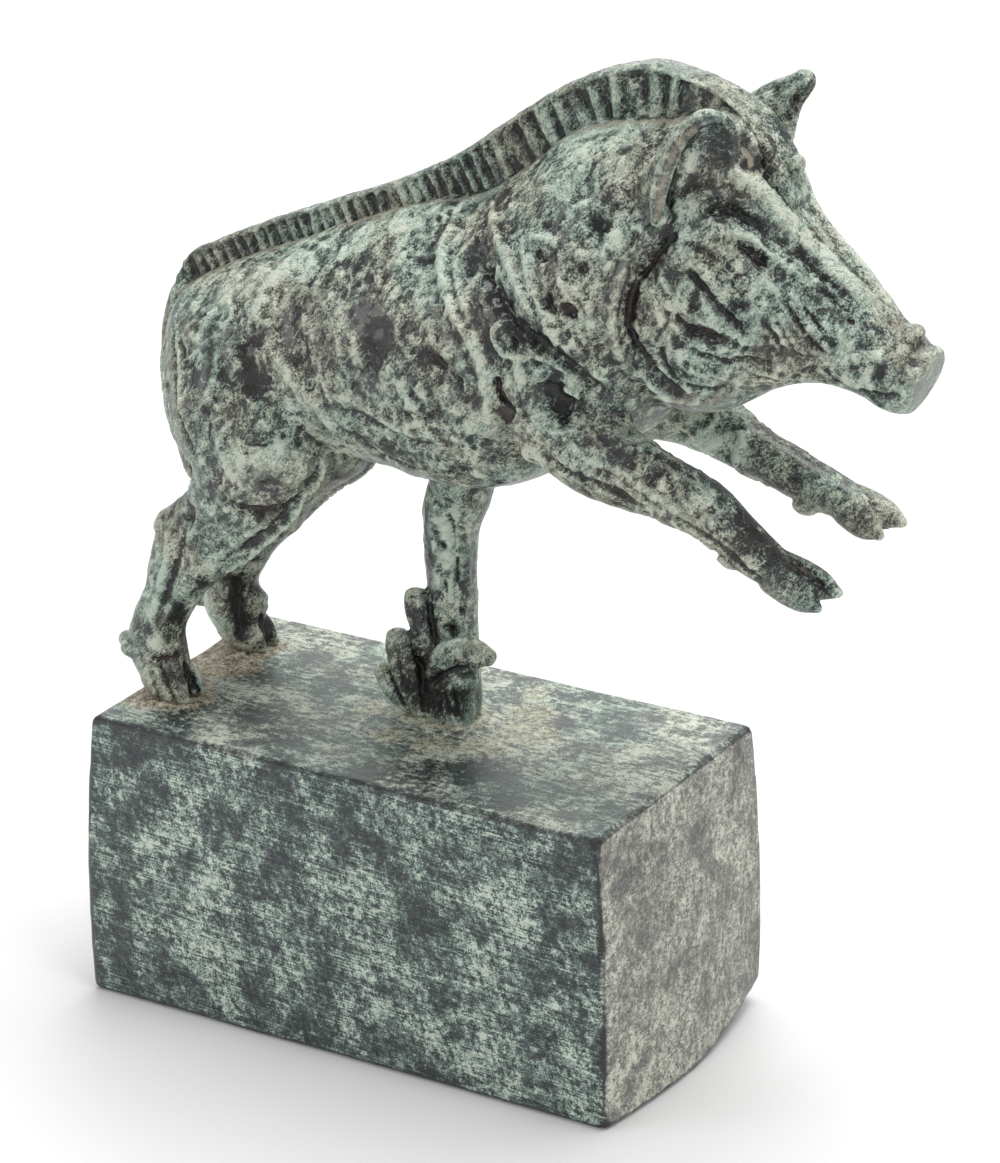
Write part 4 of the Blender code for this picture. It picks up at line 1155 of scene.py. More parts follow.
def drag_dabs(skin, rough):
    """Short curved strokes that run down and back over the trunk, neck and cheek."""
    random = np.random.default_rng(DAB_SEED)
    sideways = np.abs(skin.normals[:, 1]) > DAB_SIDEWAYS
    body = np.flatnonzero(sideways & (skin.places[:, 2] > DAB_ABOVE) & (rough > DAB_ROUGH))
    dabs = []
    for index in random.choice(body, DAB_COUNT, replace=False):
        start = skin.places[index]
        lean = math.radians(random.uniform(*DAB_LEAN))
        bend = random.uniform(-DAB_BEND, DAB_BEND)
        length = random.uniform(*DAB_LENGTHS)
        path = [start]
        for step in range(DAB_STEPS):
            lean += bend
            ahead = np.array((math.cos(lean), 0.0, math.sin(lean))) * length / DAB_STEPS
            path.append(path[-1] + ahead)
        lift = DAB_LIFT * random.choice(DAB_SIGNS) * random.uniform(0.5, 1.0)
        dab = (path, random.uniform(*DAB_HALF_WIDTHS), lift * rough[index])
        skin.stroke(*dab)
        dabs.append(dab)
    return dabs


def worms(places):
    """Wandering ridges a millimetre or two wide, wild in some areas and calm in others."""
    bent = warped(places, *WORM_WANDER)
    wild = np.clip(0.6 + 0.9 * lumps(places, *WILD_AREAS), 0.1, 1.3)
    ridges = WORM_LIFT * (0.45 - np.abs(lumps(bent, *WORM_BANDS)) * 1.7)
    return (ridges + WORM_LUMP_LIFT * lumps(bent, *WORM_LUMPS)) * wild


def clay(places):
    """Broad lumps, wandering ridges and fine crumbs, in millimetres of lift."""
    broad = BROAD_LIFT * lumps(places, *BROAD_LUMPS)
    return broad + worms(places) + CRUMB_LIFT * lumps(places, *CRUMBS)


dabs = drag_dabs(wax_skin, rough)
wax_skin.lift += clay(wax_skin.places) * rough
wax_skin.apply()
print("dabs:", len(dabs))

# %% [markdown]
# ## Fewer triangles where the wax is plain
#
# The fine skin has even squares everywhere. The Decimate modifier merges them where the
# surface is nearly flat and keeps them along folds, which is where they earn their cost.
# After that, two measures are stored on the mesh: how hollow each place is compared with
# its close and its wider surroundings. The patina reads them, because pigment stays on
# ridges or in hollows and never falls at random, and the deeper hollows get painted shade.

# %% Thin out, cut flat at the ground and measure hollows
SKIN_TRIANGLES = 192000
# Rounds of smoothing for the close hollows and the wide ones.
NEAR_ROUNDS, WIDE_ROUNDS = 6, 60


def thinned(data, triangles):
    made = add_object("wax to thin", data)
    data.calc_loop_triangles()
    thin = made.modifiers.new("fewer faces", "DECIMATE")
    thin.ratio = min(1.0, triangles / len(data.loop_triangles))
    thin.use_collapse_triangulate = True
    return evaluated_mesh(made)


def store(data, name, values):
    attribute = data.attributes.new(name, "FLOAT", "POINT")
    attribute.data.foreach_set("value", np.asarray(values, np.float32))


def hollowness(data, rounds):
    """How far the smoothed surface lies outside each vertex: above zero in a hollow."""
    places, normals = vertex_array(data), vertex_array(data, "normal")
    ends = np.empty(len(data.edges) * 2, np.int32)
    data.edges.foreach_get("vertices", ends)
    a, b = ends.reshape(-1, 2).T
    count = np.bincount(a, minlength=len(places)) + np.bincount(b, minlength=len(places))
    smooth = places.copy()
    for _ in range(rounds):
        total = np.empty_like(smooth)
        for axis in range(3):
            pull = np.bincount(a, smooth[b, axis], len(places))
            pull += np.bincount(b, smooth[a, axis], len(places))
            total[:, axis] = pull / count
        smooth = 0.5 * smooth + 0.5 * total
    return ((smooth - places) * normals).sum(axis=1)


def put_back(data, places):
    data.vertices.foreach_set("co", (places * MM).ravel())
    data.update()


wax_skin.places[:, 2] = np.maximum(wax_skin.places[:, 2], GROUND)
put_back(wax, wax_skin.places)
bronze = thinned(wax, SKIN_TRIANGLES)
bronze.shade_smooth()
near_hollow = hollowness(bronze, NEAR_ROUNDS)
store(bronze, "hollow", near_hollow)
store(bronze, "deep", hollowness(bronze, WIDE_ROUNDS))
print("bronze skin:", len(bronze.polygons), "triangles")
print("hollows, lowest and highest:", near_hollow.min().round(2), near_hollow.max().round(2))

# %% [markdown]
# ## The crest: a fin with ribs made by Geometry Nodes
#
# A raised fin runs from the tail to the forehead. Its sides are pressed in between a
# smooth rolled rim and a foot band, and upright ribs are left standing. The ribs repeat
# along a path, so Geometry Nodes place them: a chain of points along the fin carries the
# ribs' height and reach, and the tree sets one soft bar every few millimetres, each with
# a seeded change of size and lean. Fin and ribs are then wrapped in one fine skin. An
# array modifier would make them all alike, and here no two are.

# %% The fin: along the body, foot, top and half thickness
CREST = [
    (-56.5, 146, 149.2, 1.6),
    (-53.5, 146.5, 154.8, 2.1),
    (-47, 150, 159, 2.3),
    (-35, 156, 165, 2.3),
    (-17, 164, 172.8, 2.4),
    (0, 171.5, 180.2, 2.4),
    (12, 176, 187, 2.6),
    (23, 180, 195.2, 2.8),
    (34, 189, 202.8, 3),
    (45, 195, 208.2, 3.2),
    (55.5, 198, 210.4, 3.4),
    (61, 198.6, 209.6, 3.6),
    (66, 199, 208.3, 3.8),
    (72, 198, 205.8, 4.4),
    (77.5, 192, 201.6, 5),
    (82.5, 186, 194.6, 4.4),
    (85, 183.6, 189, 3.2),
]
CREST_X, CREST_FOOT, CREST_TOP, CREST_HALF = np.array(CREST).T
RIBS_END = 75.0
RIBS_FADE = 4.0
SUNK = 2.0
FOOT_BAND = 1.5
FIN_RINGS = 110


def crest_at(x):
    """Foot, top and half thickness of the crest at one place along the body."""
    return [np.interp(x, CREST_X, values) for values in (CREST_FOOT, CREST_TOP, CREST_HALF)]


def rim_height(foot, top):
    return 0.3 + 0.07 * (top - foot)


def pressed_depth(x, top, foot):
    """How far the sides are pressed in: deeper on the high neck, nothing on the forehead."""
    return float(np.clip((RIBS_END - x) / RIBS_FADE, 0, 1)) * (0.5 + 0.05 * (top - foot))


def fin():
    rings = []
    stations = [(x, 0.0, 0.0, foot, top, half) for x, foot, top, half in CREST]
    for x, _, _, foot, top, half in smooth_rows(stations, FIN_RINGS):
        core = half - pressed_depth(x, top, foot)
        rim = rim_height(foot, top)
        side = [
            (half * 1.15, foot - SUNK),
            (half * 1.12, foot + 0.3),
            (half, foot + 0.55 * FOOT_BAND),
            (core, foot + FOOT_BAND),
            (core, top - rim - 0.4),
            (half, top - rim * 0.9),
            (half * 0.92, top - rim * 0.45),
            (half * 0.6, top - rim * 0.12),
        ]
        outline = side + [(0.0, top)] + [(-y, z) for y, z in side[::-1]]
        rings.append([(x, y, z) for y, z in outline])
    return loft(rings)


print("fin of the crest:", len(fin()[0]), "points")

# %% The tree that sets the ribs
# Start, end, distance from rib to rib, share of it that the rib fills, seed.
RIB_ZONES = [(-54.5, 19.0, 2.75, 0.84, 3), (21.5, 75.0, 4.0, 0.98, 8)]
# Subdivision shrinks a bar, so it starts this much wider.
BAR_ROUNDING = 1.35
# What differs from rib to rib: place in metres, factors of width, reach and height, lean in radians.
RIB_SWAY = (0.0004, 0.0, 0.0002)
RIB_LEAST, RIB_MOST = (0.62, 0.9, 0.86), (1.3, 1.06, 1.0)
RIB_LEAN = (0.0, 0.12, 0.0)
CHAIN_POINTS = 60
# A rib runs a little into the rim and the foot band, and stands a little proud of the fin.
RIB_OVERLAP, RIB_PROUD = 1.06, 0.15


class Tree:
    """A Geometry Nodes tree under construction, with one short call per node."""

    def __init__(self, name):
        self.group = bpy.data.node_groups.new(name, "GeometryNodeTree")
        self.group.interface.new_socket("Geometry", in_out="INPUT", socket_type="NodeSocketGeometry")
        self.group.interface.new_socket("Geometry", in_out="OUTPUT", socket_type="NodeSocketGeometry")
        self.inputs = self.group.nodes.new("NodeGroupInput")
        self.output = self.group.nodes.new("NodeGroupOutput")

    def take(self, name, kind):
        """A named input of the tree. Its identifier is what a modifier is set by."""
        return self.group.interface.new_socket(name, in_out="INPUT", socket_type=kind).identifier

    def add(self, kind, feeds=(), **settings):
        node = self.group.nodes.new(kind)
        for name, value in settings.items():
            setattr(node, name, value)
        for name, value in dict(feeds).items():
            if isinstance(value, bpy.types.NodeSocket):
                self.group.links.new(value, node.inputs[name])
            else:
                node.inputs[name].default_value = value
        return node

    def random(self, low, high):
        """A random vector for each point, by the tree's seed."""
        feeds = {"Min": low, "Max": high, "Seed": self.inputs.outputs["Seed"]}
        return self.add("FunctionNodeRandomValue", feeds, data_type="FLOAT_VECTOR").outputs[0]


def rib_tree():
    tree = Tree("crest ribs")
    names = {
        "Pitch": tree.take("Pitch", "NodeSocketFloat"),
        "Rib Width": tree.take("Rib Width", "NodeSocketFloat"),
        "Seed": tree.take("Seed", "NodeSocketInt"),
        "Material": tree.take("Material", "NodeSocketMaterial"),
    }
    given = tree.inputs.outputs
    curve = tree.add("GeometryNodeMeshToCurve", {"Mesh": given["Geometry"]})
    measured = {"Curve": curve.outputs[0], "Length": given["Pitch"]}
    spots = tree.add("GeometryNodeCurveToPoints", measured, mode="LENGTH")
    sway = tree.random([-value for value in RIB_SWAY], RIB_SWAY)
    swayed = {"Geometry": spots.outputs["Points"], "Offset": sway}
    moved = tree.add("GeometryNodeSetPosition", swayed)
    tangent = {"Vector": spots.outputs["Tangent"]}
    along = tree.add("FunctionNodeAlignRotationToVector", tangent, axis="X", pivot_axis="Y")
    rise = tree.add("GeometryNodeInputNamedAttribute", {"Name": "rise"}, data_type="FLOAT")
    reach = tree.add("GeometryNodeInputNamedAttribute", {"Name": "reach"}, data_type="FLOAT")
    sizes = {"X": given["Rib Width"], "Y": reach.outputs["Attribute"], "Z": rise.outputs["Attribute"]}
    size = tree.add("ShaderNodeCombineXYZ", sizes)
    change = {0: size.outputs[0], 1: tree.random(RIB_LEAST, RIB_MOST)}
    scale = tree.add("ShaderNodeVectorMath", change, operation="MULTIPLY")
    block = tree.add("GeometryNodeMeshCube", {"Vertices Z": 7})
    bar = tree.add("GeometryNodeSubdivisionSurface", {"Mesh": block.outputs["Mesh"], "Level": 2})
    placed = {
        "Points": moved.outputs[0],
        "Instance": bar.outputs[0],
        "Rotation": along.outputs[0],
        "Scale": scale.outputs[0],
    }
    ribs = tree.add("GeometryNodeInstanceOnPoints", placed)
    lean = tree.random([-value for value in RIB_LEAN], RIB_LEAN)
    leaning = tree.add("GeometryNodeRotateInstances", {"Instances": ribs.outputs[0], "Rotation": lean})
    real = tree.add("GeometryNodeRealizeInstances", {"Geometry": leaning.outputs[0]})
    dressed = {"Geometry": real.outputs[0], "Material": given["Material"]}
    done = tree.add("GeometryNodeSetMaterial", dressed)
    tree.group.links.new(done.outputs[0], tree.output.inputs[0])
    return tree.group, names


def rib_chain(start, end):
    """Points along the middle of the pressed band, with the height and reach of a rib at each."""
    spots = np.linspace(start, end, CHAIN_POINTS)
    foot, top, half = crest_at(spots)
    low, high = foot + 0.5 * FOOT_BAND, top - 0.6 * rim_height(foot, top)
    middle = (low + high) / 2
    slope = np.arctan(np.gradient(middle, spots))
    data = bpy.data.meshes.new("rib chain")
    points = np.stack([spots, spots * 0, middle], axis=1) * MM
    data.from_pydata(points.tolist(), [(i, i + 1) for i in range(len(spots) - 1)], [])
    store(data, "rise", (high - low) * np.cos(slope) * RIB_OVERLAP * MM)
    store(data, "reach", 2.0 * (half + RIB_PROUD) * MM)
    return data


def ribs(tree, names, zone, metal):
    start, end, pitch, share, seed = zone
    made = add_object("ribs", rib_chain(start, end))
    setter = made.modifiers.new("crest ribs", "NODES")
    setter.node_group = tree
    setter[names["Pitch"]] = pitch * MM
    setter[names["Rib Width"]] = pitch * share * BAR_ROUNDING * MM
    setter[names["Seed"]] = seed
    setter[names["Material"]] = metal
    return evaluated_mesh(made)


rib_metal = bpy.data.materials.new("rib wax")
tree, tree_names = rib_tree()
rib_meshes = [ribs(tree, tree_names, zone, rib_metal) for zone in RIB_ZONES]
print("ribs:", [len(mesh.vertices) for mesh in rib_meshes], "points")

# %% Fin and ribs in one skin
CREST_VOXEL, CREST_SMOOTHING = 0.34, 3
CREST_TRIANGLES = 90000
SCRATCHES, SCRATCH_LIFT = (0.8, 31, (1.5, 1.5, 0.3)), 0.10
SOFT_LUMPS, SOFT_LIFT = (2.4, 33), 0.14


def crest_clay(places):
    """Fine upright scratches and soft lumps, in millimetres of lift."""
    scratches = SCRATCH_LIFT * lumps(places, *SCRATCHES)
    return scratches + SOFT_LIFT * lumps(places, *SOFT_LUMPS)


crest = one_skin([fin()] + [as_part(mesh) for mesh in rib_meshes], CREST_VOXEL, CREST_SMOOTHING)
crest_places, crest_normals = vertex_array(crest), vertex_array(crest, "normal")
crest_places += crest_normals * crest_clay(crest_places)[:, None]
put_back(crest, crest_places)
crest = thinned(crest, CREST_TRIANGLES)
crest.shade_smooth()
print("crest:", len(crest.polygons), "triangles, top at", vertex_array(crest)[:, 2].max().round(1))

# %% [markdown]
# ## Where pigment and deposit sit
#
# Patina is not random. The dark metal shows where a cloth has rubbed it and deep in the
# hollows where no brush reached. The pale green sits on the rough ground between. A tan
# deposit, wax mixed with chalk, stays in corners: along the crest's foot, behind the
# ears, at the armpits and round the hooves. These places are stored on the mesh, and the
# material reads them. The stored tone also holds painted light: raised folds and a few
# bands are painted paler as highlight and sheen, and cuts and a few places are painted
# darker as shade.

# %% Deposit, polish and hollows, stored on the meshes
# Tan deposit: path, half width, strength.
CRUSTED = [
    ([(62, -17, 189), (60.6, -16, 192.5)], 3.0, 0.55),
    ([(59, -14.5, 189), (63, -15.5, 196.5), (68, -15.5, 202)], 2.2, 0.5),
    ([(36, -22, 139), (42, -21, 136)], 3.0, 0.35),
    ([(63, -12, 148), (74, -9, 150)], 3.5, 0.6),
    ([(108, -5, 161.5), (106, 0, 167)], 3.4, 0.6),
    ([(-58, -3, 143), (-59, -3, 136)], 2.4, 0.6),
    ([(48, -19, 131), (62, -19, 129), (80, -18, 122)], 3.2, 0.5),
    ([(90, -15, 119), (99, -15, 116)], 4.0, 0.5),
    ([(70, 10, 127), (98, 12, 120)], 7.0, 0.55),
    ([(32, -20, 176), (36, -21.5, 172)], 1.2, 0.6),
]
# Reddish metal in hollows and worn places.
RUSTED = [
    ([(80.4, -15.2, 175.2)], 1.3),
    ([(80, -14, 181.6), (83.6, -13.2, 179.2)], 0.9),
    ([(74.6, -16.5, 165.3)], 1.6),
    ([(59.6, -18.2, 160.5), (59, -18.8, 168)], 0.8),
    ([(99.2, -7.4, 168.7)], 0.8),
    ([(87.6, -12.2, 161.4)], 0.9),
    ([(-20, -21, 114.6), (-16, -19, 115)], 1.0),
    ([(71, -17, 190.5), (69, -17.6, 187)], 0.8),
    ([(39.4, -23, 149)], 0.7),
    ([(-48.4, -17, 66.6)], 1.4),
]
# Large areas that hold more pigment or less, and some marked ones that are painted sheen,
# highlight and shade instead: path, half width, change of cover.
TONES = [
    # Trunk and neck
    # The bands along the back and the top of the neck are painted paler, as a painted sheen.
    ([(-44, -17, 151), (-28, -12.9, 157.2), (-12.6, -10.8, 165.3), (2.6, -9.4, 172.4),
      (20, -10.3, 179)], 3.4, 0.16),
    ([(37.8, -8.2, 192.5), (55.4, -9, 197.4)], 4.0, 0.14),
    ([(30.4, -22.1, 139.3)], 4.0, 0.12),
    ([(-9.8, -16.7, 128.2)], 5.0, 0.1),
    ([(-28.5, -24.4, 120.8)], 4.0, 0.1),
    ([(-12, -18, 160), (-4, -20, 158)], 2.6, 0.08),
    ([(-38, -20.5, 144), (-40, -20.5, 136)], 3.0, 0.1),
    ([(-23.5, -21.9, 143), (-24.8, -22.1, 135.4)], 4.2, -0.16),
    ([(-15, -19.9, 120.7)], 4.0, -0.14),
    ([(6, -20.5, 164.5), (12.1, -23.2, 156.7), (16.4, -24.9, 151.9), (20.9, -25.2, 146.7)], 3.2, -0.15),
    # Painted shadow in the groove under the collar ridge.
    ([(30.3, -21.7, 165.4), (33.1, -23, 162.3), (45.1, -24.6, 158.9), (53.7, -20.7, 153.2)],
     2.4, -0.16),
    ([(44.9, -20.6, 179.3), (52.5, -18.7, 184), (55.3, -16.5, 187.7)], 3.0, -0.1),
    # Head
    ([(84, 0, 189), (100, 0, 172.5)], 3.0, 0.04),
    ([(68.8, -13, 151.5), (78.2, -11, 154.6), (87.6, -8.8, 156.6)], 3.0, 0.1),
    ([(78.1, -13.7, 181.8), (83, -12, 180)], 2.6, -0.1),
    ([(75.6, -16.1, 165.6)], 3.4, -0.1),
    ([(96.5, -6.8, 172.1)], 3.0, -0.08),
    ([(110, -6, 160.6)], 3.0, -0.08),
    # Painted shade in the dip between the ears, beside the forelock.
    ([(80, -8.5, 194), (77, -8, 198), (74.6, -8, 201)], 3.6, -0.24),
    ([(76, 15, 199), (78, 16, 204)], 5.0, -0.16),
    ([(66.4, -14, 196), (68.4, -14.6, 190)], 3.0, -0.14),
    ([(60, -15.6, 190.6), (57.6, -14.6, 194)], 1.6, -0.2),
    ([(80.4, -15.2, 175.2)], 1.3, -0.3),
    ([(68, -16.5, 166.4)], 1.0, -0.2),
    ([(74.6, -16.5, 165.3)], 1.5, -0.24),
    ([(82.3, -16.5, 168.2)], 0.8, -0.2),
    ([(72.8, -16, 169), (81.4, -16, 165), (87.1, -16, 162.3)], 0.9, 0.2),
    ([(66.7, -16.5, 170.1)], 2.2, 0.12),
    ([(64, -16.5, 160.8), (72.6, -16.5, 158.3)], 1.6, 0.14),
    ([(75.5, -16, 170), (79.7, -16, 167.6)], 0.7, -0.18),
    ([(83, -14, 174.6), (84.4, -13.6, 171.6)], 0.9, 0.18),
    ([(76, -12.4, 194), (81.1, -8, 191), (87.5, -5.4, 183.9)], 1.6, 0.06),
    # Painted shade in the same dip, close to the forelock.
    ([(79, -4.6, 194.6), (81, -4.4, 192.6), (83.2, -4.4, 190.4)], 1.8, -0.3),
    ([(72.5, -15, 189), (79, -12.2, 187.4)], 1.4, -0.14),
    ([(104.6, -7, 163)], 1.2, 0.18),
    ([(71.7, -16, 199.7), (69.7, -16.6, 193.7)], 3.0, 0.3),
    ([(69.5, -17, 189.5)], 2.2, 0.26),
    ([(74.2, -16, 198.2)], 1.5, -0.12),
    # Legs
    ([(59.6, 8.6, 134.8)], 5.0, 0.16),
    ([(61.8, -19.6, 138.2), (72.3, -15.3, 134.8), (86.6, -17.9, 125.3), (95.5, -18.4, 118.1)],
     2.6, -0.2),
    ([(66, 10, 131), (80, 10, 126.5), (98, 12, 120.5)], 5.0, -0.09),
    ([(97, -16, 116.5)], 4.0, -0.08),
    ([(94, 14, 122), (99, 16, 121)], 4.0, -0.12),
    ([(-50, -15.4, 66.5)], 5.0, -0.14),
    ([(-50, 15.4, 66.5)], 5.0, -0.12),
    ([(-52.8, 10.1, 77.8)], 5.0, -0.12),
    ([(-51.4, 10.4, 82), (-50.8, 10.4, 73.3), (-50.4, 10.4, 66)], 2.2, -0.26),
    ([(-45.7, 11, 72.8), (-45.8, 11, 67.1)], 1.6, 0.3),
    ([(-58.7, 12, 76), (-57.2, 12, 67.1)], 1.4, 0.24),
    ([(-38.5, -19, 93.3), (-43.2, -19, 85.7), (-47.7, -19, 81), (-49.5, -19, 76)], 1.8, -0.14),
    ([(-47, -20, 97), (-52, -19.5, 86), (-54.5, -19, 78)], 2.2, 0.1),
    ([(-51.4, -20, 76.8)], 1.4, 0.16),
    ([(-49, -19, 71.5), (-46.6, -17.5, 67.5)], 2.2, -0.24),
    ([(-55, -18.6, 69)], 2.2, 0.16),
    ([(59, 8, 134), (70, 9, 130)], 4.0, 0.1),
    # Stump and leaves
    ([(6.8, 1.1, 71.1), (-5, 0.9, 76)], 6.5, -0.12),
    ([(9, -2, 79), (15, -1, 80)], 3.5, -0.2),
    ([(-1, 0.6, 86)], 3.5, -0.12),
    ([(1.5, 2, 112), (0.6, 2, 100), (1.2, 2, 90)], 2.2, -0.1),
    ([(4.4, 1, 108.4)], 0.7, 0.4),
    ([(3.6, 1, 103.4), (3.8, 1, 101.6)], 0.6, 0.35),
    # The stump's right side is painted paler, as a painted sheen.
    ([(9.4, 1.4, 114), (8.6, 1.4, 100), (9.2, 1.4, 86)], 2.4, 0.2),
    ([(12, 3, 108), (9.6, 3.4, 96)], 1.6, 0.1),
    ([(10.6, 1, 110), (10.4, 1, 98), (10.8, 1, 87)], 1.3, -0.12),
    # A painted highlight on the rim of the curled leaf's lip.
    ([(4.6, -1.6, 78.4), (8.6, -1.8, 83), (14, -1.4, 84.6), (17, -0.4, 82)], 0.6, 0.22),
    # Painted shade under the overhang of the leaf's lip.
    ([(2.4, -1, 66), (3, -1, 73)], 3.0, -0.12),
    ([(7.6, -1.6, 66), (9, -2, 75)], 3.2, -0.12),
    ([(14.6, -1.8, 80.6)], 1.4, 0.14),
]
# How much folds, cuts, dabs and worms change the cover, for each millimetre of lift. Folds
# hold pigment and a painted highlight. Cuts show bare metal and painted shade.
FOLD_PIGMENT_AND_HIGHLIGHT, CUT_BARE_AND_SHADE, DAB_TINT, WORM_TINT = 0.16, 0.13, 0.50, 0.85
CREST_FOOT_FROM, CREST_FOOT_TO, CREST_FOOT_POINTS = -54.0, 76.0, 28
CRUST_SIDE_STEP = 1.2
CREST_FOOT_CRUST = (0.9, 1.0)
EAR_RIM_CRUST = (1.3, 0.75)
HOOF_CRUST = 2.4


def crest_foot_path(side):
    """A line on the body along the crest's foot."""
    path = []
    for x in np.linspace(CREST_FOOT_FROM, CREST_FOOT_TO, CREST_FOOT_POINTS):
        foot, _, half = crest_at(x)
        path.append((x, side * half * CRUST_SIDE_STEP, foot))
    return path


def crust_of(skin):
    """1 where the tan deposit lies thick, 0 where there is none."""
    crust = np.zeros(len(skin.places))
    for path, half_width, strength in CRUSTED:
        skin.mark(crust, path, half_width, strength)
        skin.mark(crust, other_side(path), half_width, strength)
    for side in (-1, 1):
        skin.mark(crust, crest_foot_path(side), *CREST_FOOT_CRUST)
    for ear in EARS:
        skin.mark(crust, ear_line(ear, 1.0, 0.0, 0.9), *EAR_RIM_CRUST)
    above_ground = skin.places[:, 2] - GROUND
    return np.maximum(crust, np.clip(1 - above_ground / HOOF_CRUST, 0, 1))


def tone_of(skin):
    """Above zero where pigment caught on ridges and dabs, and where highlight and sheen are
    painted. Below zero where the metal is bare, and where shade is painted.
    """
    press_folds(skin)
    tone = FOLD_PIGMENT_AND_HIGHLIGHT * np.clip(skin.lift, 0, 1) + CUT_BARE_AND_SHADE * np.clip(skin.lift, -2, 0)
    skin.lift[:] = 0.0
    for path, half_width, lift in dabs:
        skin.stroke(path, half_width, lift)
    tone += DAB_TINT * skin.lift + WORM_TINT * worms(skin.places) * roughness_of(skin)
    skin.lift[:] = 0.0
    for path, half_width, change in TONES:
        skin.stroke(path, half_width, change)
        skin.stroke(other_side(path), half_width, change)
    tone += skin.lift
    skin.lift[:] = 0.0
    return tone


def spots_of(skin, spots):
    """1 on each listed line or spot, falling to 0 round it."""
    values = np.zeros(len(skin.places))
    for path, half_width in spots:
        skin.mark(values, path, half_width)
    return values


bronze_skin = Skin(bronze)
store(bronze, "rust", spots_of(bronze_skin, RUSTED))
store(bronze, "crust", crust_of(bronze_skin))
store(bronze, "tone", tone_of(bronze_skin))
store(bronze, "polish", polish_of(bronze_skin))
print("stored on the skin:", [layer.name for layer in bronze.attributes if layer.data_type == "FLOAT"])

# %% The same measures for the crest
CREST_NEAR_ROUNDS = 10
CREST_HOLLOW_SHARE = 0.45
CREST_TINT, CREST_GROOVE_TINT = 0.08, 0.24
# Deposit up to this height above the fin's foot, and its strength.
CREST_CRUST_HEIGHT, CREST_CRUST = 1.6, 0.9
# The rolled rim is polished to this depth and strength, fading out over the brow.
RIM_POLISH_DEPTH, RIM_POLISH = 0.9, 0.6
RIM_POLISH_END, RIM_POLISH_FADE = 74.0, 10.0
# A groove starts above the foot band, ends below the rim and is at least so deep.
GROOVE_ABOVE, GROOVE_BELOW, GROOVE_LEAST = 0.8, 0.12, 0.3
# Painted shade in the dip beside the forelock: x, z, reach along and up, and how much darker.
BROW_SHADOW = (78.4, 196.4, 5.6, 6.0)
BROW_SHADOW_TINT = 0.26


def groove_share(places):
    """1 at the bottom of the grooves between the ribs, 0 on the ribs, the rim and the foot."""
    x, y, z = places.T
    foot, top, half = crest_at(x)
    depth = np.array([pressed_depth(*station) for station in zip(x, top, foot)])
    sunk = (half - RIB_PROUD - np.abs(y)) / np.maximum(depth, GROOVE_LEAST)
    between = (z - foot > GROOVE_ABOVE) & (top - z > GROOVE_BELOW * (top - foot))
    return np.clip(sunk, 0, 1) * between


def brow_shadow(places):
    x, z, along, up = BROW_SHADOW
    return np.exp(-(((places[:, 0] - x) / along) ** 2) - ((places[:, 2] - z) / up) ** 2)


def rim_polish(places):
    below_top = crest_at(places[:, 0])[1] - places[:, 2]
    fade = np.clip((RIM_POLISH_END - places[:, 0]) / RIM_POLISH_FADE, 0, 1)
    return RIM_POLISH * np.exp(-((below_top / RIM_POLISH_DEPTH) ** 2)) * fade


crest_places = vertex_array(crest)
above_foot = crest_places[:, 2] - crest_at(crest_places[:, 0])[0]
crest_tone = CREST_TINT - CREST_GROOVE_TINT * groove_share(crest_places)
crest_tone -= BROW_SHADOW_TINT * brow_shadow(crest_places)
store(crest, "hollow", CREST_HOLLOW_SHARE * hollowness(crest, CREST_NEAR_ROUNDS))
store(crest, "deep", hollowness(crest, WIDE_ROUNDS))
store(crest, "rust", np.zeros(len(crest_places)))
store(crest, "crust", np.clip(CREST_CRUST_HEIGHT - above_foot, 0, 1) * CREST_CRUST)
store(crest, "polish", rim_polish(crest_places))
store(crest, "tone", crest_tone)
print("tone on the crest: from", crest_tone.min().round(2), "to", crest_tone.max().round(2))

# %% [markdown]
# ## Patina materials
#
# One number rules the finish at each place: how much pigment covers the metal, with painted
# light and shade added in. It is a sum of noises at four sizes, from areas a finger wide to
# single grains, and of the measures stored on the mesh. Hollows lose pigment, and the deeper
# ones get painted shade. Raised folds and dabs keep it, and folds get a painted highlight.
# Cloth has rubbed it off in some areas. A colour ramp turns the number into colours, from a
# near-black ground to pale verdigris, in a cool and a warm mood that change place slowly.
# The same number makes bare metal satin and pigment chalky and slightly raised. Rust and
# the tan deposit go over it.

# %% Helpers for material nodes
# The sockets of a Mix node that hold colours.
MIX_A, MIX_B, MIX_RESULT = 6, 7, 2


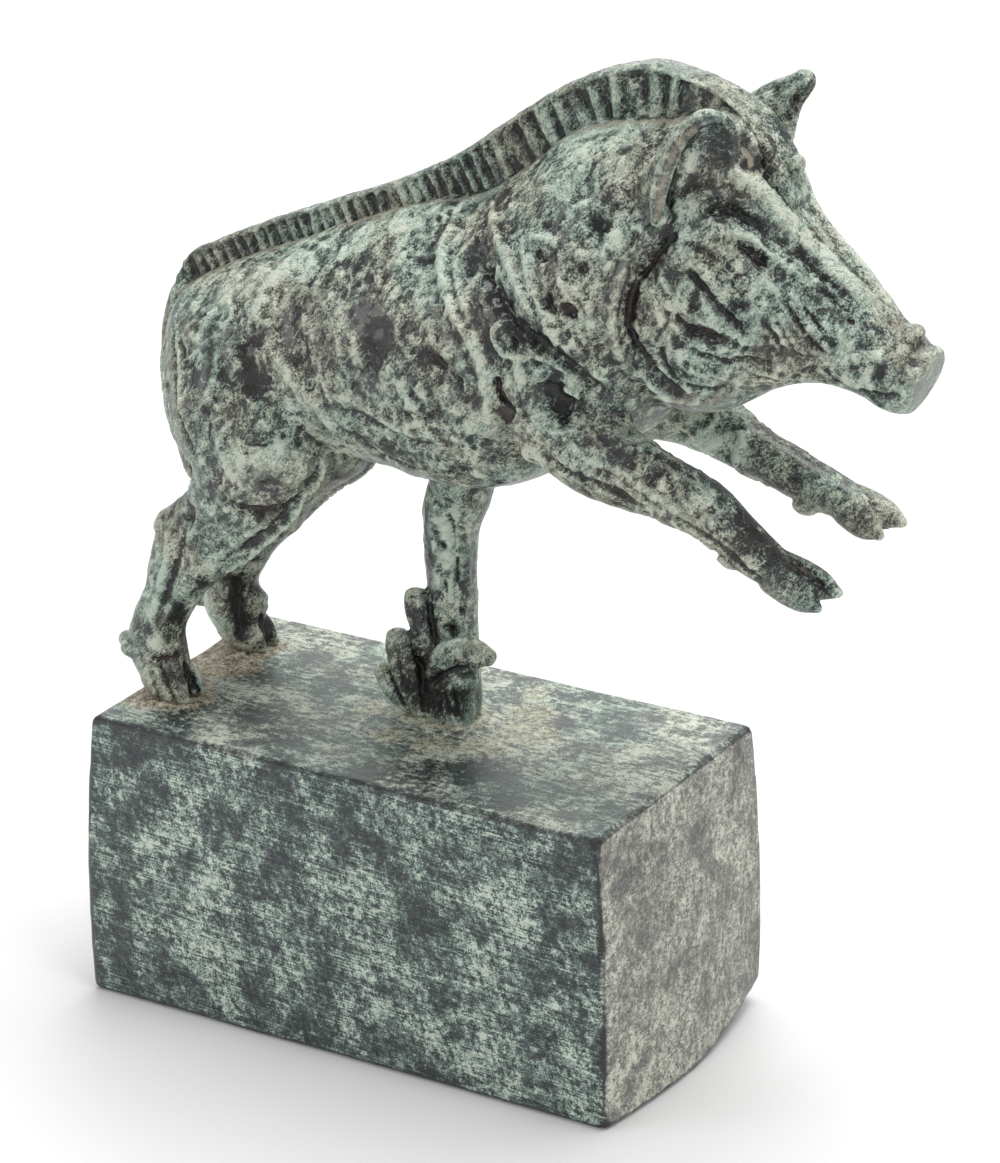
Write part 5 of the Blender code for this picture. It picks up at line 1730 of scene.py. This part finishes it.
class Paint:
    """The nodes of one material, with a short call for each kind. Sizes are in millimetres."""

    def __init__(self, name):
        self.material = bpy.data.materials.new(name)
        self.material.use_nodes = True
        self.tree = self.material.node_tree
        self.shader = self.tree.nodes["Principled BSDF"]
        self.places = self.tree.nodes.new("ShaderNodeTexCoord").outputs["Object"]

    def feed(self, socket, value):
        if isinstance(value, bpy.types.NodeSocket):
            self.tree.links.new(value, socket)
        else:
            socket.default_value = value

    def maths(self, operation, first, second=0.0):
        node = self.tree.nodes.new("ShaderNodeMath")
        node.operation = operation
        self.feed(node.inputs[0], first)
        self.feed(node.inputs[1], second)
        return node.outputs[0]

    def product(self, first, second):
        return self.maths("MULTIPLY", first, second)

    def total(self, *terms):
        """The sum of some values, each times its weight."""
        result = None
        for value, weight in terms:
            part = self.product(value, weight)
            result = part if result is None else self.maths("ADD", result, part)
        return result

    def noise(self, size, detail=3.0, roughness=0.6, warp=0.0, places=None):
        node = self.tree.nodes.new("ShaderNodeTexNoise")
        self.feed(node.inputs["Vector"], places or self.places)
        node.inputs["Scale"].default_value = 1.0 / (size * MM)
        node.inputs["Detail"].default_value = detail
        node.inputs["Roughness"].default_value = roughness
        node.inputs["Distortion"].default_value = warp
        return node.outputs["Fac"]

    def mixture(self, centre, *noises):
        """Noises summed by weight so that the middle of each gives the centre value."""
        offset = centre - 0.5 * sum(weight for _, weight in noises)
        return self.maths("ADD", self.total(*noises), offset)

    def streaked(self, turn, scale):
        """Places turned and stretched, so that a noise on them becomes streaks."""
        node = self.tree.nodes.new("ShaderNodeMapping")
        node.vector_type = "TEXTURE"
        self.feed(node.inputs["Vector"], self.places)
        node.inputs["Rotation"].default_value = turn
        node.inputs["Scale"].default_value = scale
        return node.outputs[0]

    def ramp(self, value, stops):
        """Colours that follow each other smoothly as the value rises."""
        node = self.tree.nodes.new("ShaderNodeValToRGB")
        self.feed(node.inputs[0], value)
        elements = node.color_ramp.elements
        while len(elements) < len(stops):
            elements.new(0.5)
        for element, (place, colour) in zip(elements, stops):
            element.position = place
            element.color = (*colour, 1.0)
        return node.outputs["Color"]

    def stored(self, name):
        node = self.tree.nodes.new("ShaderNodeAttribute")
        node.attribute_name = name
        return node.outputs["Fac"]

    def step(self, value, low, high, start=0.0, end=1.0):
        """start below low, end above high, and a soft step between them."""
        node = self.tree.nodes.new("ShaderNodeMapRange")
        node.interpolation_type = "SMOOTHSTEP"
        self.feed(node.inputs["Value"], value)
        node.inputs["From Min"].default_value = low
        node.inputs["From Max"].default_value = high
        node.inputs["To Min"].default_value = start
        node.inputs["To Max"].default_value = end
        return node.outputs[0]

    def blend(self, share, first, second):
        node = self.tree.nodes.new("ShaderNodeMix")
        node.data_type = "RGBA"
        self.feed(node.inputs[0], share)
        self.feed(node.inputs[MIX_A], first)
        self.feed(node.inputs[MIX_B], second)
        return node.outputs[MIX_RESULT]

    def toward(self, value, target, share):
        """A value pulled towards a target by a share."""
        gap = self.maths("SUBTRACT", target, value)
        return self.maths("ADD", value, self.product(gap, share))

    def strands(self, noise, width):
        """1 on the winding lines where a noise crosses its middle, falling to 0 within a width."""
        off = self.maths("ABSOLUTE", self.maths("SUBTRACT", noise, 0.5))
        return self.step(off, 0.0, width, 1.0, 0.0)

    def bump(self, height, depth):
        node = self.tree.nodes.new("ShaderNodeBump")
        node.inputs["Distance"].default_value = depth * MM
        node.inputs["Strength"].default_value = 1.0
        self.feed(node.inputs["Height"], height)
        self.feed(self.shader.inputs["Normal"], node.outputs[0])


print("kinds of node ready:", [name for name in vars(Paint) if not name.startswith("_")])

# %% Patina of the boar
# The same finish in two moods, from bare ground to thick pigment: cool and green, warm and sandy.
COOL_PATINA = [
    (0.16, (0.006, 0.007, 0.008)),
    (0.32, (0.022, 0.027, 0.027)),
    (0.43, (0.054, 0.073, 0.066)),
    (0.51, (0.140, 0.188, 0.160)),
    (0.61, (0.262, 0.338, 0.284)),
    (0.76, (0.378, 0.460, 0.388)),
    (0.92, (0.560, 0.635, 0.545)),
]
WARM_PATINA = [
    (0.16, (0.009, 0.008, 0.007)),
    (0.32, (0.030, 0.028, 0.026)),
    (0.43, (0.068, 0.070, 0.058)),
    (0.51, (0.162, 0.174, 0.138)),
    (0.61, (0.290, 0.308, 0.244)),
    (0.76, (0.410, 0.432, 0.348)),
    (0.92, (0.595, 0.620, 0.515)),
]
BARE = (0.034, 0.037, 0.042, 1.0)
RUST = (0.080, 0.038, 0.032, 1.0)
TAN = (0.34, 0.305, 0.240, 1.0)
# Each pair is for bare metal and for chalky pigment.
BLUR = (0.28, 0.70)
METAL = (0.3, 0.0)
WAX_COAT = (0.5, 0.08)
GLEAM = 0.4


def satin(paint, cover_and_painted_light, chalk_from, chalk_to, coat_blur, wax=None):
    """Glossy under wax where bare metal shows, chalky where pigment lies. wax thins the coat."""
    shader = paint.shader.inputs
    paint.feed(shader["Roughness"], paint.step(cover_and_painted_light, chalk_from, chalk_to, *BLUR))
    paint.feed(shader["Metallic"], paint.step(cover_and_painted_light, chalk_from, chalk_to, *METAL))
    coat = paint.step(cover_and_painted_light, chalk_from, chalk_to, *WAX_COAT)
    paint.feed(shader["Coat Weight"], paint.product(coat, wax) if wax else coat)
    shader["Specular IOR Level"].default_value = GLEAM
    shader["Coat Roughness"].default_value = coat_blur


def boar_patina():
    paint = Paint("patinated bronze")
    # Noises, from the largest to the smallest, then thin pale lines and thin dark cracks.
    warm = paint.noise(16.0, 2.0, 0.5)
    regions = paint.noise(14.0, 2.0, 0.5, 0.8)
    cloth = paint.noise(7.0, 2.0, 0.5, 1.2)
    patches = paint.noise(6.0, 3.0, 0.62, 0.9)
    dabs = paint.noise(1.2, 2.0, 0.65, 0.6)
    streaks = paint.noise(1.0, 2.0, 0.6, 0.8, paint.streaked((0.0, 0.7, 0.0), (1.3, 1.5, 3.4)))
    grains = paint.noise(0.42, 2.0, 0.7)
    drawn = paint.noise(2.4, 1.0, 0.5, 1.8, paint.streaked((0.0, 0.5, 0.0), (1.0, 1.0, 1.9)))
    split = paint.noise(1.9, 1.0, 0.5, 2.0, paint.streaked((0.0, 0.6, 0.0), (1.0, 1.0, 2.2)))
    lines, cracks = paint.strands(drawn, 0.055), paint.strands(split, 0.025)
    hollow, deep = paint.stored("hollow"), paint.stored("deep")
    polish, crust, tone = paint.stored("polish"), paint.stored("crust"), paint.stored("tone")

    # Large areas first. The fine speckle is strong on crusted patches and weak between them.
    large = paint.mixture(0.52, (regions, 0.45), (patches, 0.8))
    fine = paint.mixture(0.0, (streaks, 0.85), (dabs, 0.65), (grains, 1.15))
    crusted = paint.step(patches, 0.36, 0.60, 0.75, 1.15)
    cover_and_painted_light = paint.maths("ADD", large, paint.product(fine, crusted))
    # Rubbed areas show the dark ground with little speckle.
    rubbed = paint.step(cloth, 0.40, 0.46, 0.75, 0.0)
    cover_and_painted_light = paint.toward(cover_and_painted_light, paint.mixture(0.39, (dabs, 0.2), (grains, 0.3)), rubbed)
    # The shape of the wax: hollows lose pigment, and deep pits are darkened more as painted shade.
    # Folds and dabs keep pigment, and the stored tone also holds painted highlight and shade.
    shaded_pits = paint.step(hollow, 0.06, 0.34)
    shape = paint.total((hollow, -0.72), (deep, -0.04), (shaded_pits, -0.18), (tone, 1.2))
    cover_and_painted_light = paint.maths("ADD", cover_and_painted_light, shape)
    cover_and_painted_light = paint.maths("ADD", cover_and_painted_light, paint.total((lines, 0.19), (cracks, -0.14)))
    # Polished swellings are nearly bare, with a broken edge.
    broken = paint.mixture(0.5, (dabs, 0.9), (patches, 0.7), (streaks, 0.5))
    polish = paint.product(polish, paint.step(broken, 0.42, 0.62, 1.0, 0.3))
    bare = paint.mixture(0.36, (grains, 0.25), (streaks, 0.3))
    cover_and_painted_light = paint.toward(cover_and_painted_light, bare, paint.product(polish, 0.8))

    mood = paint.step(paint.mixture(0.5, (warm, 1.0), (dabs, 0.6)), 0.4, 0.6)
    colour = paint.blend(mood, paint.ramp(cover_and_painted_light, COOL_PATINA), paint.ramp(cover_and_painted_light, WARM_PATINA))
    colour = paint.blend(paint.product(polish, 0.5), colour, BARE)
    rust = paint.product(paint.step(hollow, 0.08, 0.25), paint.step(warm, 0.5, 0.6, 0.0, 0.4))
    red_spots = paint.product(paint.stored("rust"), paint.step(cover_and_painted_light, 0.42, 0.6, 0.8, 0.1))
    colour = paint.blend(paint.maths("MAXIMUM", rust, red_spots), colour, RUST)
    caught = paint.total((crust, 0.8), (dabs, 0.6), (grains, 0.5), (hollow, 0.3))
    deposit = paint.step(caught, 0.85, 1.2)
    colour = paint.blend(paint.product(deposit, 0.75), colour, TAN)
    paint.feed(paint.shader.inputs["Base Color"], colour)
    satin(paint, paint.maths("MAXIMUM", cover_and_painted_light, deposit), 0.38, 0.62, 0.16)
    paint.bump(paint.total((cover_and_painted_light, 1.0), (grains, 0.8)), 0.24)
    return paint.material


patina = boar_patina()
print("boar's patina:", len(patina.node_tree.nodes), "nodes")

# %% [markdown]
# ## The plinth
#
# The plinth is its own casting: a block with slightly swelled faces and soft worn edges.
# Its shape comes from the packed model. A copy gets an even fine skin and the faint waves
# of a hand finish. Round the hooves and the stump the deposit stands up as a low crumbly
# collar, which is how such a joint is hidden.

# %% Plinth with its collar of deposit
PLINTH_VOXEL = 0.8
COLLAR_REACH = 2.6
COLLAR_HEIGHT = 0.7
FOOTPRINT_HEIGHT = 1.2
FAR = 99.0
FACING_FROM, FACING_OVER = 0.6, 0.3
BROAD_WAVES, BROAD_WAVE_LIFT = (14.0, 73), 0.12
SMALL_WAVES, SMALL_WAVE_LIFT = (2.5, 75), 0.05
COLLAR_LUMPS = (2.2, 71)


def plinth_skin():
    made = add_object("plinth copy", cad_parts["plinth"].data.copy())
    skin = made.modifiers.new("even skin", "REMESH")
    skin.mode = "VOXEL"
    skin.voxel_size = PLINTH_VOXEL * MM
    return evaluated_mesh(made)


def footprint_distance(places):
    """How far each place is from a hoof, the stump or a leaf that stands on the block."""
    feet = bronze_skin.places[bronze_skin.places[:, 2] < GROUND + FOOTPRINT_HEIGHT]
    tree = KDTree(len(feet))
    for index, (x, y, z) in enumerate(feet):
        tree.insert((x, y, 0.0), index)
    tree.balance()
    return np.array([tree.find((x, y, 0.0))[2] for x, y, z in places])


def facing_share(towards):
    """1 where a face looks that way, 0 where it doesn't."""
    return np.clip((towards - FACING_FROM) / FACING_OVER, 0, 1)


plinth = plinth_skin()
plinth_places, plinth_normals = vertex_array(plinth), vertex_array(plinth, "normal")
top_facing = facing_share(plinth_normals[:, 2])
end_facing = facing_share(np.abs(plinth_normals[:, 0]))
away = np.full(len(plinth_places), FAR)
away[top_facing > 0] = footprint_distance(plinth_places[top_facing > 0])
collar = COLLAR_HEIGHT * np.exp(-((away / COLLAR_REACH) ** 2))
collar *= 1 + 0.5 * lumps(plinth_places, *COLLAR_LUMPS)
waves = BROAD_WAVE_LIFT * lumps(plinth_places, *BROAD_WAVES)
waves += SMALL_WAVE_LIFT * lumps(plinth_places, *SMALL_WAVES)
plinth_places += plinth_normals * (waves + collar * top_facing)[:, None]
plinth_places[:, 2] = np.maximum(plinth_places[:, 2], PLINTH_LOW[2])
put_back(plinth, plinth_places)
plinth.shade_smooth()
print("plinth:", len(plinth.polygons), "faces")

# %% Deposit and stains on the top
# x, y, radius, strength. The deposit is tan at the hind feet and cream round the stump.
SPREADS = [
    (-53, 4, 10, 1.0),
    (-57, 12, 7, 1.0),
    (-55, -18, 6, 0.9),
    (-50, -9, 6, 1.0),
    (-48, 12, 5, 0.8),
    (-12, 1, 5, 0.7),
    (18, 15, 6, 0.9),
    (22, 6, 7, 1.0),
    (18, -5, 6, 1.0),
    (9, -9, 5, 1.0),
    (-2, -9, 5, 0.8),
    (13, 24, 5, 0.7),
]
# Dark green stains: x, y, radius. Those in front of the stump are in part its painted reflection.
STAINS_AND_REFLECTION = [
    (-42, -17, 6),
    (-30, -14, 7),
    (-19, -20, 6),
    (12, -24, 7),
    (21, -17, 7),
    (4, -27, 5),
    (34, -26, 5),
    (-40, 2, 5),
    (-43, -25, 4),
]
FOOT_SPREAD_REACH, FOOT_SPREAD = 3.2, 0.8
RAGGED_EDGE = (7.0, 77)
TAN_FROM, TAN_OVER = -20.0, 10.0
EDGE_ROUNDS = 3


def ragged_spot(x, y, radius):
    """1 in the middle of a spot on the top, falling to 0 past its ragged edge."""
    off = np.hypot(plinth_places[:, 0] - x, plinth_places[:, 1] - y) / (radius * ragged)
    return np.exp(-(off**3))


ragged = 1 + 0.35 * lumps(plinth_places, *RAGGED_EDGE)
spread = FOOT_SPREAD * np.exp(-((away / (FOOT_SPREAD_REACH * ragged)) ** 3))
for x, y, radius, strength in SPREADS:
    spread = np.maximum(spread, strength * ragged_spot(x, y, radius))
stained_and_reflected = np.max([ragged_spot(*stain) for stain in STAINS_AND_REFLECTION], axis=0)
store(plinth, "crust", spread * top_facing)
store(plinth, "sand", np.clip((TAN_FROM - plinth_places[:, 0]) / TAN_OVER, 0, 1))
store(plinth, "green", stained_and_reflected * top_facing)
store(plinth, "top", top_facing)
store(plinth, "end", end_facing)
store(plinth, "hollow", hollowness(plinth, EDGE_ROUNDS))
print("share of the top under deposit:", (spread[top_facing > 0] > 0.5).mean().round(2))

# %% Patina of the plinth
BLOCK_PATINA = [
    (0.18, (0.008, 0.009, 0.012)),
    (0.34, (0.021, 0.028, 0.030)),
    (0.44, (0.049, 0.065, 0.064)),
    (0.52, (0.105, 0.135, 0.130)),
    (0.62, (0.205, 0.275, 0.245)),
    (0.78, (0.420, 0.510, 0.440)),
    (0.92, (0.660, 0.720, 0.620)),
]
# A greyer ramp for the ends. It is also paler, and that paleness is painted sheen.
END_PATINA_AND_SHEEN = [
    (0.18, (0.022, 0.021, 0.023)),
    (0.34, (0.052, 0.049, 0.050)),
    (0.44, (0.098, 0.093, 0.089)),
    (0.52, (0.165, 0.163, 0.150)),
    (0.62, (0.265, 0.268, 0.236)),
    (0.78, (0.450, 0.460, 0.390)),
    (0.92, (0.660, 0.670, 0.570)),
]
BLOCK_GREEN = (0.012, 0.036, 0.030, 1.0)
BLOCK_EDGE = (0.020, 0.019, 0.020, 1.0)
SANDY = [
    (0.30, (0.120, 0.095, 0.068)),
    (0.44, (0.270, 0.225, 0.155)),
    (0.58, (0.470, 0.420, 0.310)),
    (0.74, (0.680, 0.650, 0.530)),
]
CREAMY = [
    (0.30, (0.150, 0.155, 0.122)),
    (0.44, (0.350, 0.355, 0.270)),
    (0.58, (0.560, 0.565, 0.435)),
    (0.74, (0.740, 0.745, 0.600)),
]


def plinth_patina():
    paint = Paint("brushed bronze block")
    clouds = paint.noise(22.0, 2.0, 0.5, 0.3)
    patches = paint.noise(7.0, 3.0, 0.6, 0.4)
    strokes = paint.noise(1.0, 3.0, 0.65, 0.3, paint.streaked((0.0, -0.5, 0.0), (1.3, 1.5, 3.0)))
    dabs = paint.noise(1.3, 2.0, 0.7, 0.2)
    scratches = paint.noise(1.0, 2.0, 0.7, 0.0, paint.streaked((0.0, 0.05, 0.0), (9.0, 1.2, 0.35)))
    grains = paint.noise(0.40, 2.0, 0.75)
    top, end, green = paint.stored("top"), paint.stored("end"), paint.stored("green")
    crust, hollow = paint.stored("crust"), paint.stored("hollow")

    # As on the boar: large areas, and a fine speckle that is strong on crusted patches.
    large = paint.mixture(0.535, (clouds, 0.45), (patches, 0.9))
    fine = paint.mixture(0.0, (strokes, 0.8), (dabs, 0.8), (scratches, 0.8), (grains, 1.15))
    crusted = paint.step(paint.mixture(0.5, (clouds, 0.5), (patches, 0.8)), 0.38, 0.62, 0.65, 1.25)
    cover_and_painted_light = paint.maths("ADD", large, paint.product(fine, crusted))
    # The ends are calmer than the sides, and ends and top are painted paler as a painted sheen.
    # Stains and worn edges are darker. The stains in front of the stump are in part
    # its painted reflection.
    calm = paint.maths("SUBTRACT", paint.total((top, -0.05), (end, 0.2)), 0.05)
    cover_and_painted_light = paint.toward(cover_and_painted_light, 0.48, calm)
    edge = paint.step(hollow, -0.14, -0.05, 1.0, 0.0)
    places = paint.total((green, -0.22), (edge, -0.2), (end, 0.13), (top, 0.13))
    cover_and_painted_light = paint.maths("ADD", cover_and_painted_light, places)
    # The ends and patches of the top take the greyer end ramp, whose paleness is painted sheen.
    grey_top = paint.product(top, paint.step(clouds, 0.42, 0.52, 0.15, 0.65))
    neutral_and_sheen = paint.maths("ADD", end, grey_top)
    colour = paint.blend(neutral_and_sheen, paint.ramp(cover_and_painted_light, BLOCK_PATINA), paint.ramp(cover_and_painted_light, END_PATINA_AND_SHEEN))
    # A thin green wash over the dark ground, strongest on the stains.
    wash = paint.step(paint.mixture(0.5, (clouds, -0.9), (patches, 0.8), (dabs, 0.3)), 0.52, 0.62)
    wash = paint.maths("MAXIMUM", paint.product(wash, 0.4), paint.product(green, 0.8))
    wash = paint.product(wash, paint.step(cover_and_painted_light, 0.42, 0.6, 1.0, 0.15))
    colour = paint.blend(wash, colour, BLOCK_GREEN)
    # The deposit, brushed out from the feet.
    smears = paint.mixture(0.5, (strokes, 0.7), (dabs, 0.8), (grains, 0.9))
    spread = paint.step(paint.total((crust, 0.9), (smears, 0.6), (patches, 0.5)), 0.86, 1.22)
    sand = paint.stored("sand")
    deposit = paint.blend(sand, paint.ramp(smears, CREAMY), paint.ramp(smears, SANDY))
    colour = paint.blend(paint.product(spread, 0.9), colour, deposit)
    colour = paint.blend(paint.product(edge, 0.9), colour, BLOCK_EDGE)
    paint.feed(paint.shader.inputs["Base Color"], colour)
    wax = paint.maths("ADD", paint.total((top, -0.55), (end, -0.55)), 1.0)
    satin(paint, paint.maths("MAXIMUM", cover_and_painted_light, spread), 0.34, 0.60, 0.36, wax)
    paint.bump(paint.total((cover_and_painted_light, 0.8), (grains, 0.6), (scratches, 0.8)), 0.22)
    return paint.material


block_patina = plinth_patina()
print("plinth's patina:", len(block_patina.node_tree.nodes), "nodes")

# %% [markdown]
# ## The finished pieces
#
# Each finished mesh becomes a piece at the origin, rides on the one body of the packed
# model and takes its material slot, and the packed node in its place is hidden.

# %% Pieces, their body and their slots


def finished(name, data, material):
    data.materials.clear()
    data.materials.append(material)
    piece = add_object(name, data)
    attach(piece, "root")
    return piece


boar_piece = finished("boar_skin", bronze, patina)
crest_piece = finished("boar_crest", crest, patina)
plinth_piece = finished("plinth_skin", plinth, block_patina)
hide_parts("boar")
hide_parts("plinth")
print("pieces:", [piece.name for piece in (boar_piece, crest_piece, plinth_piece)])
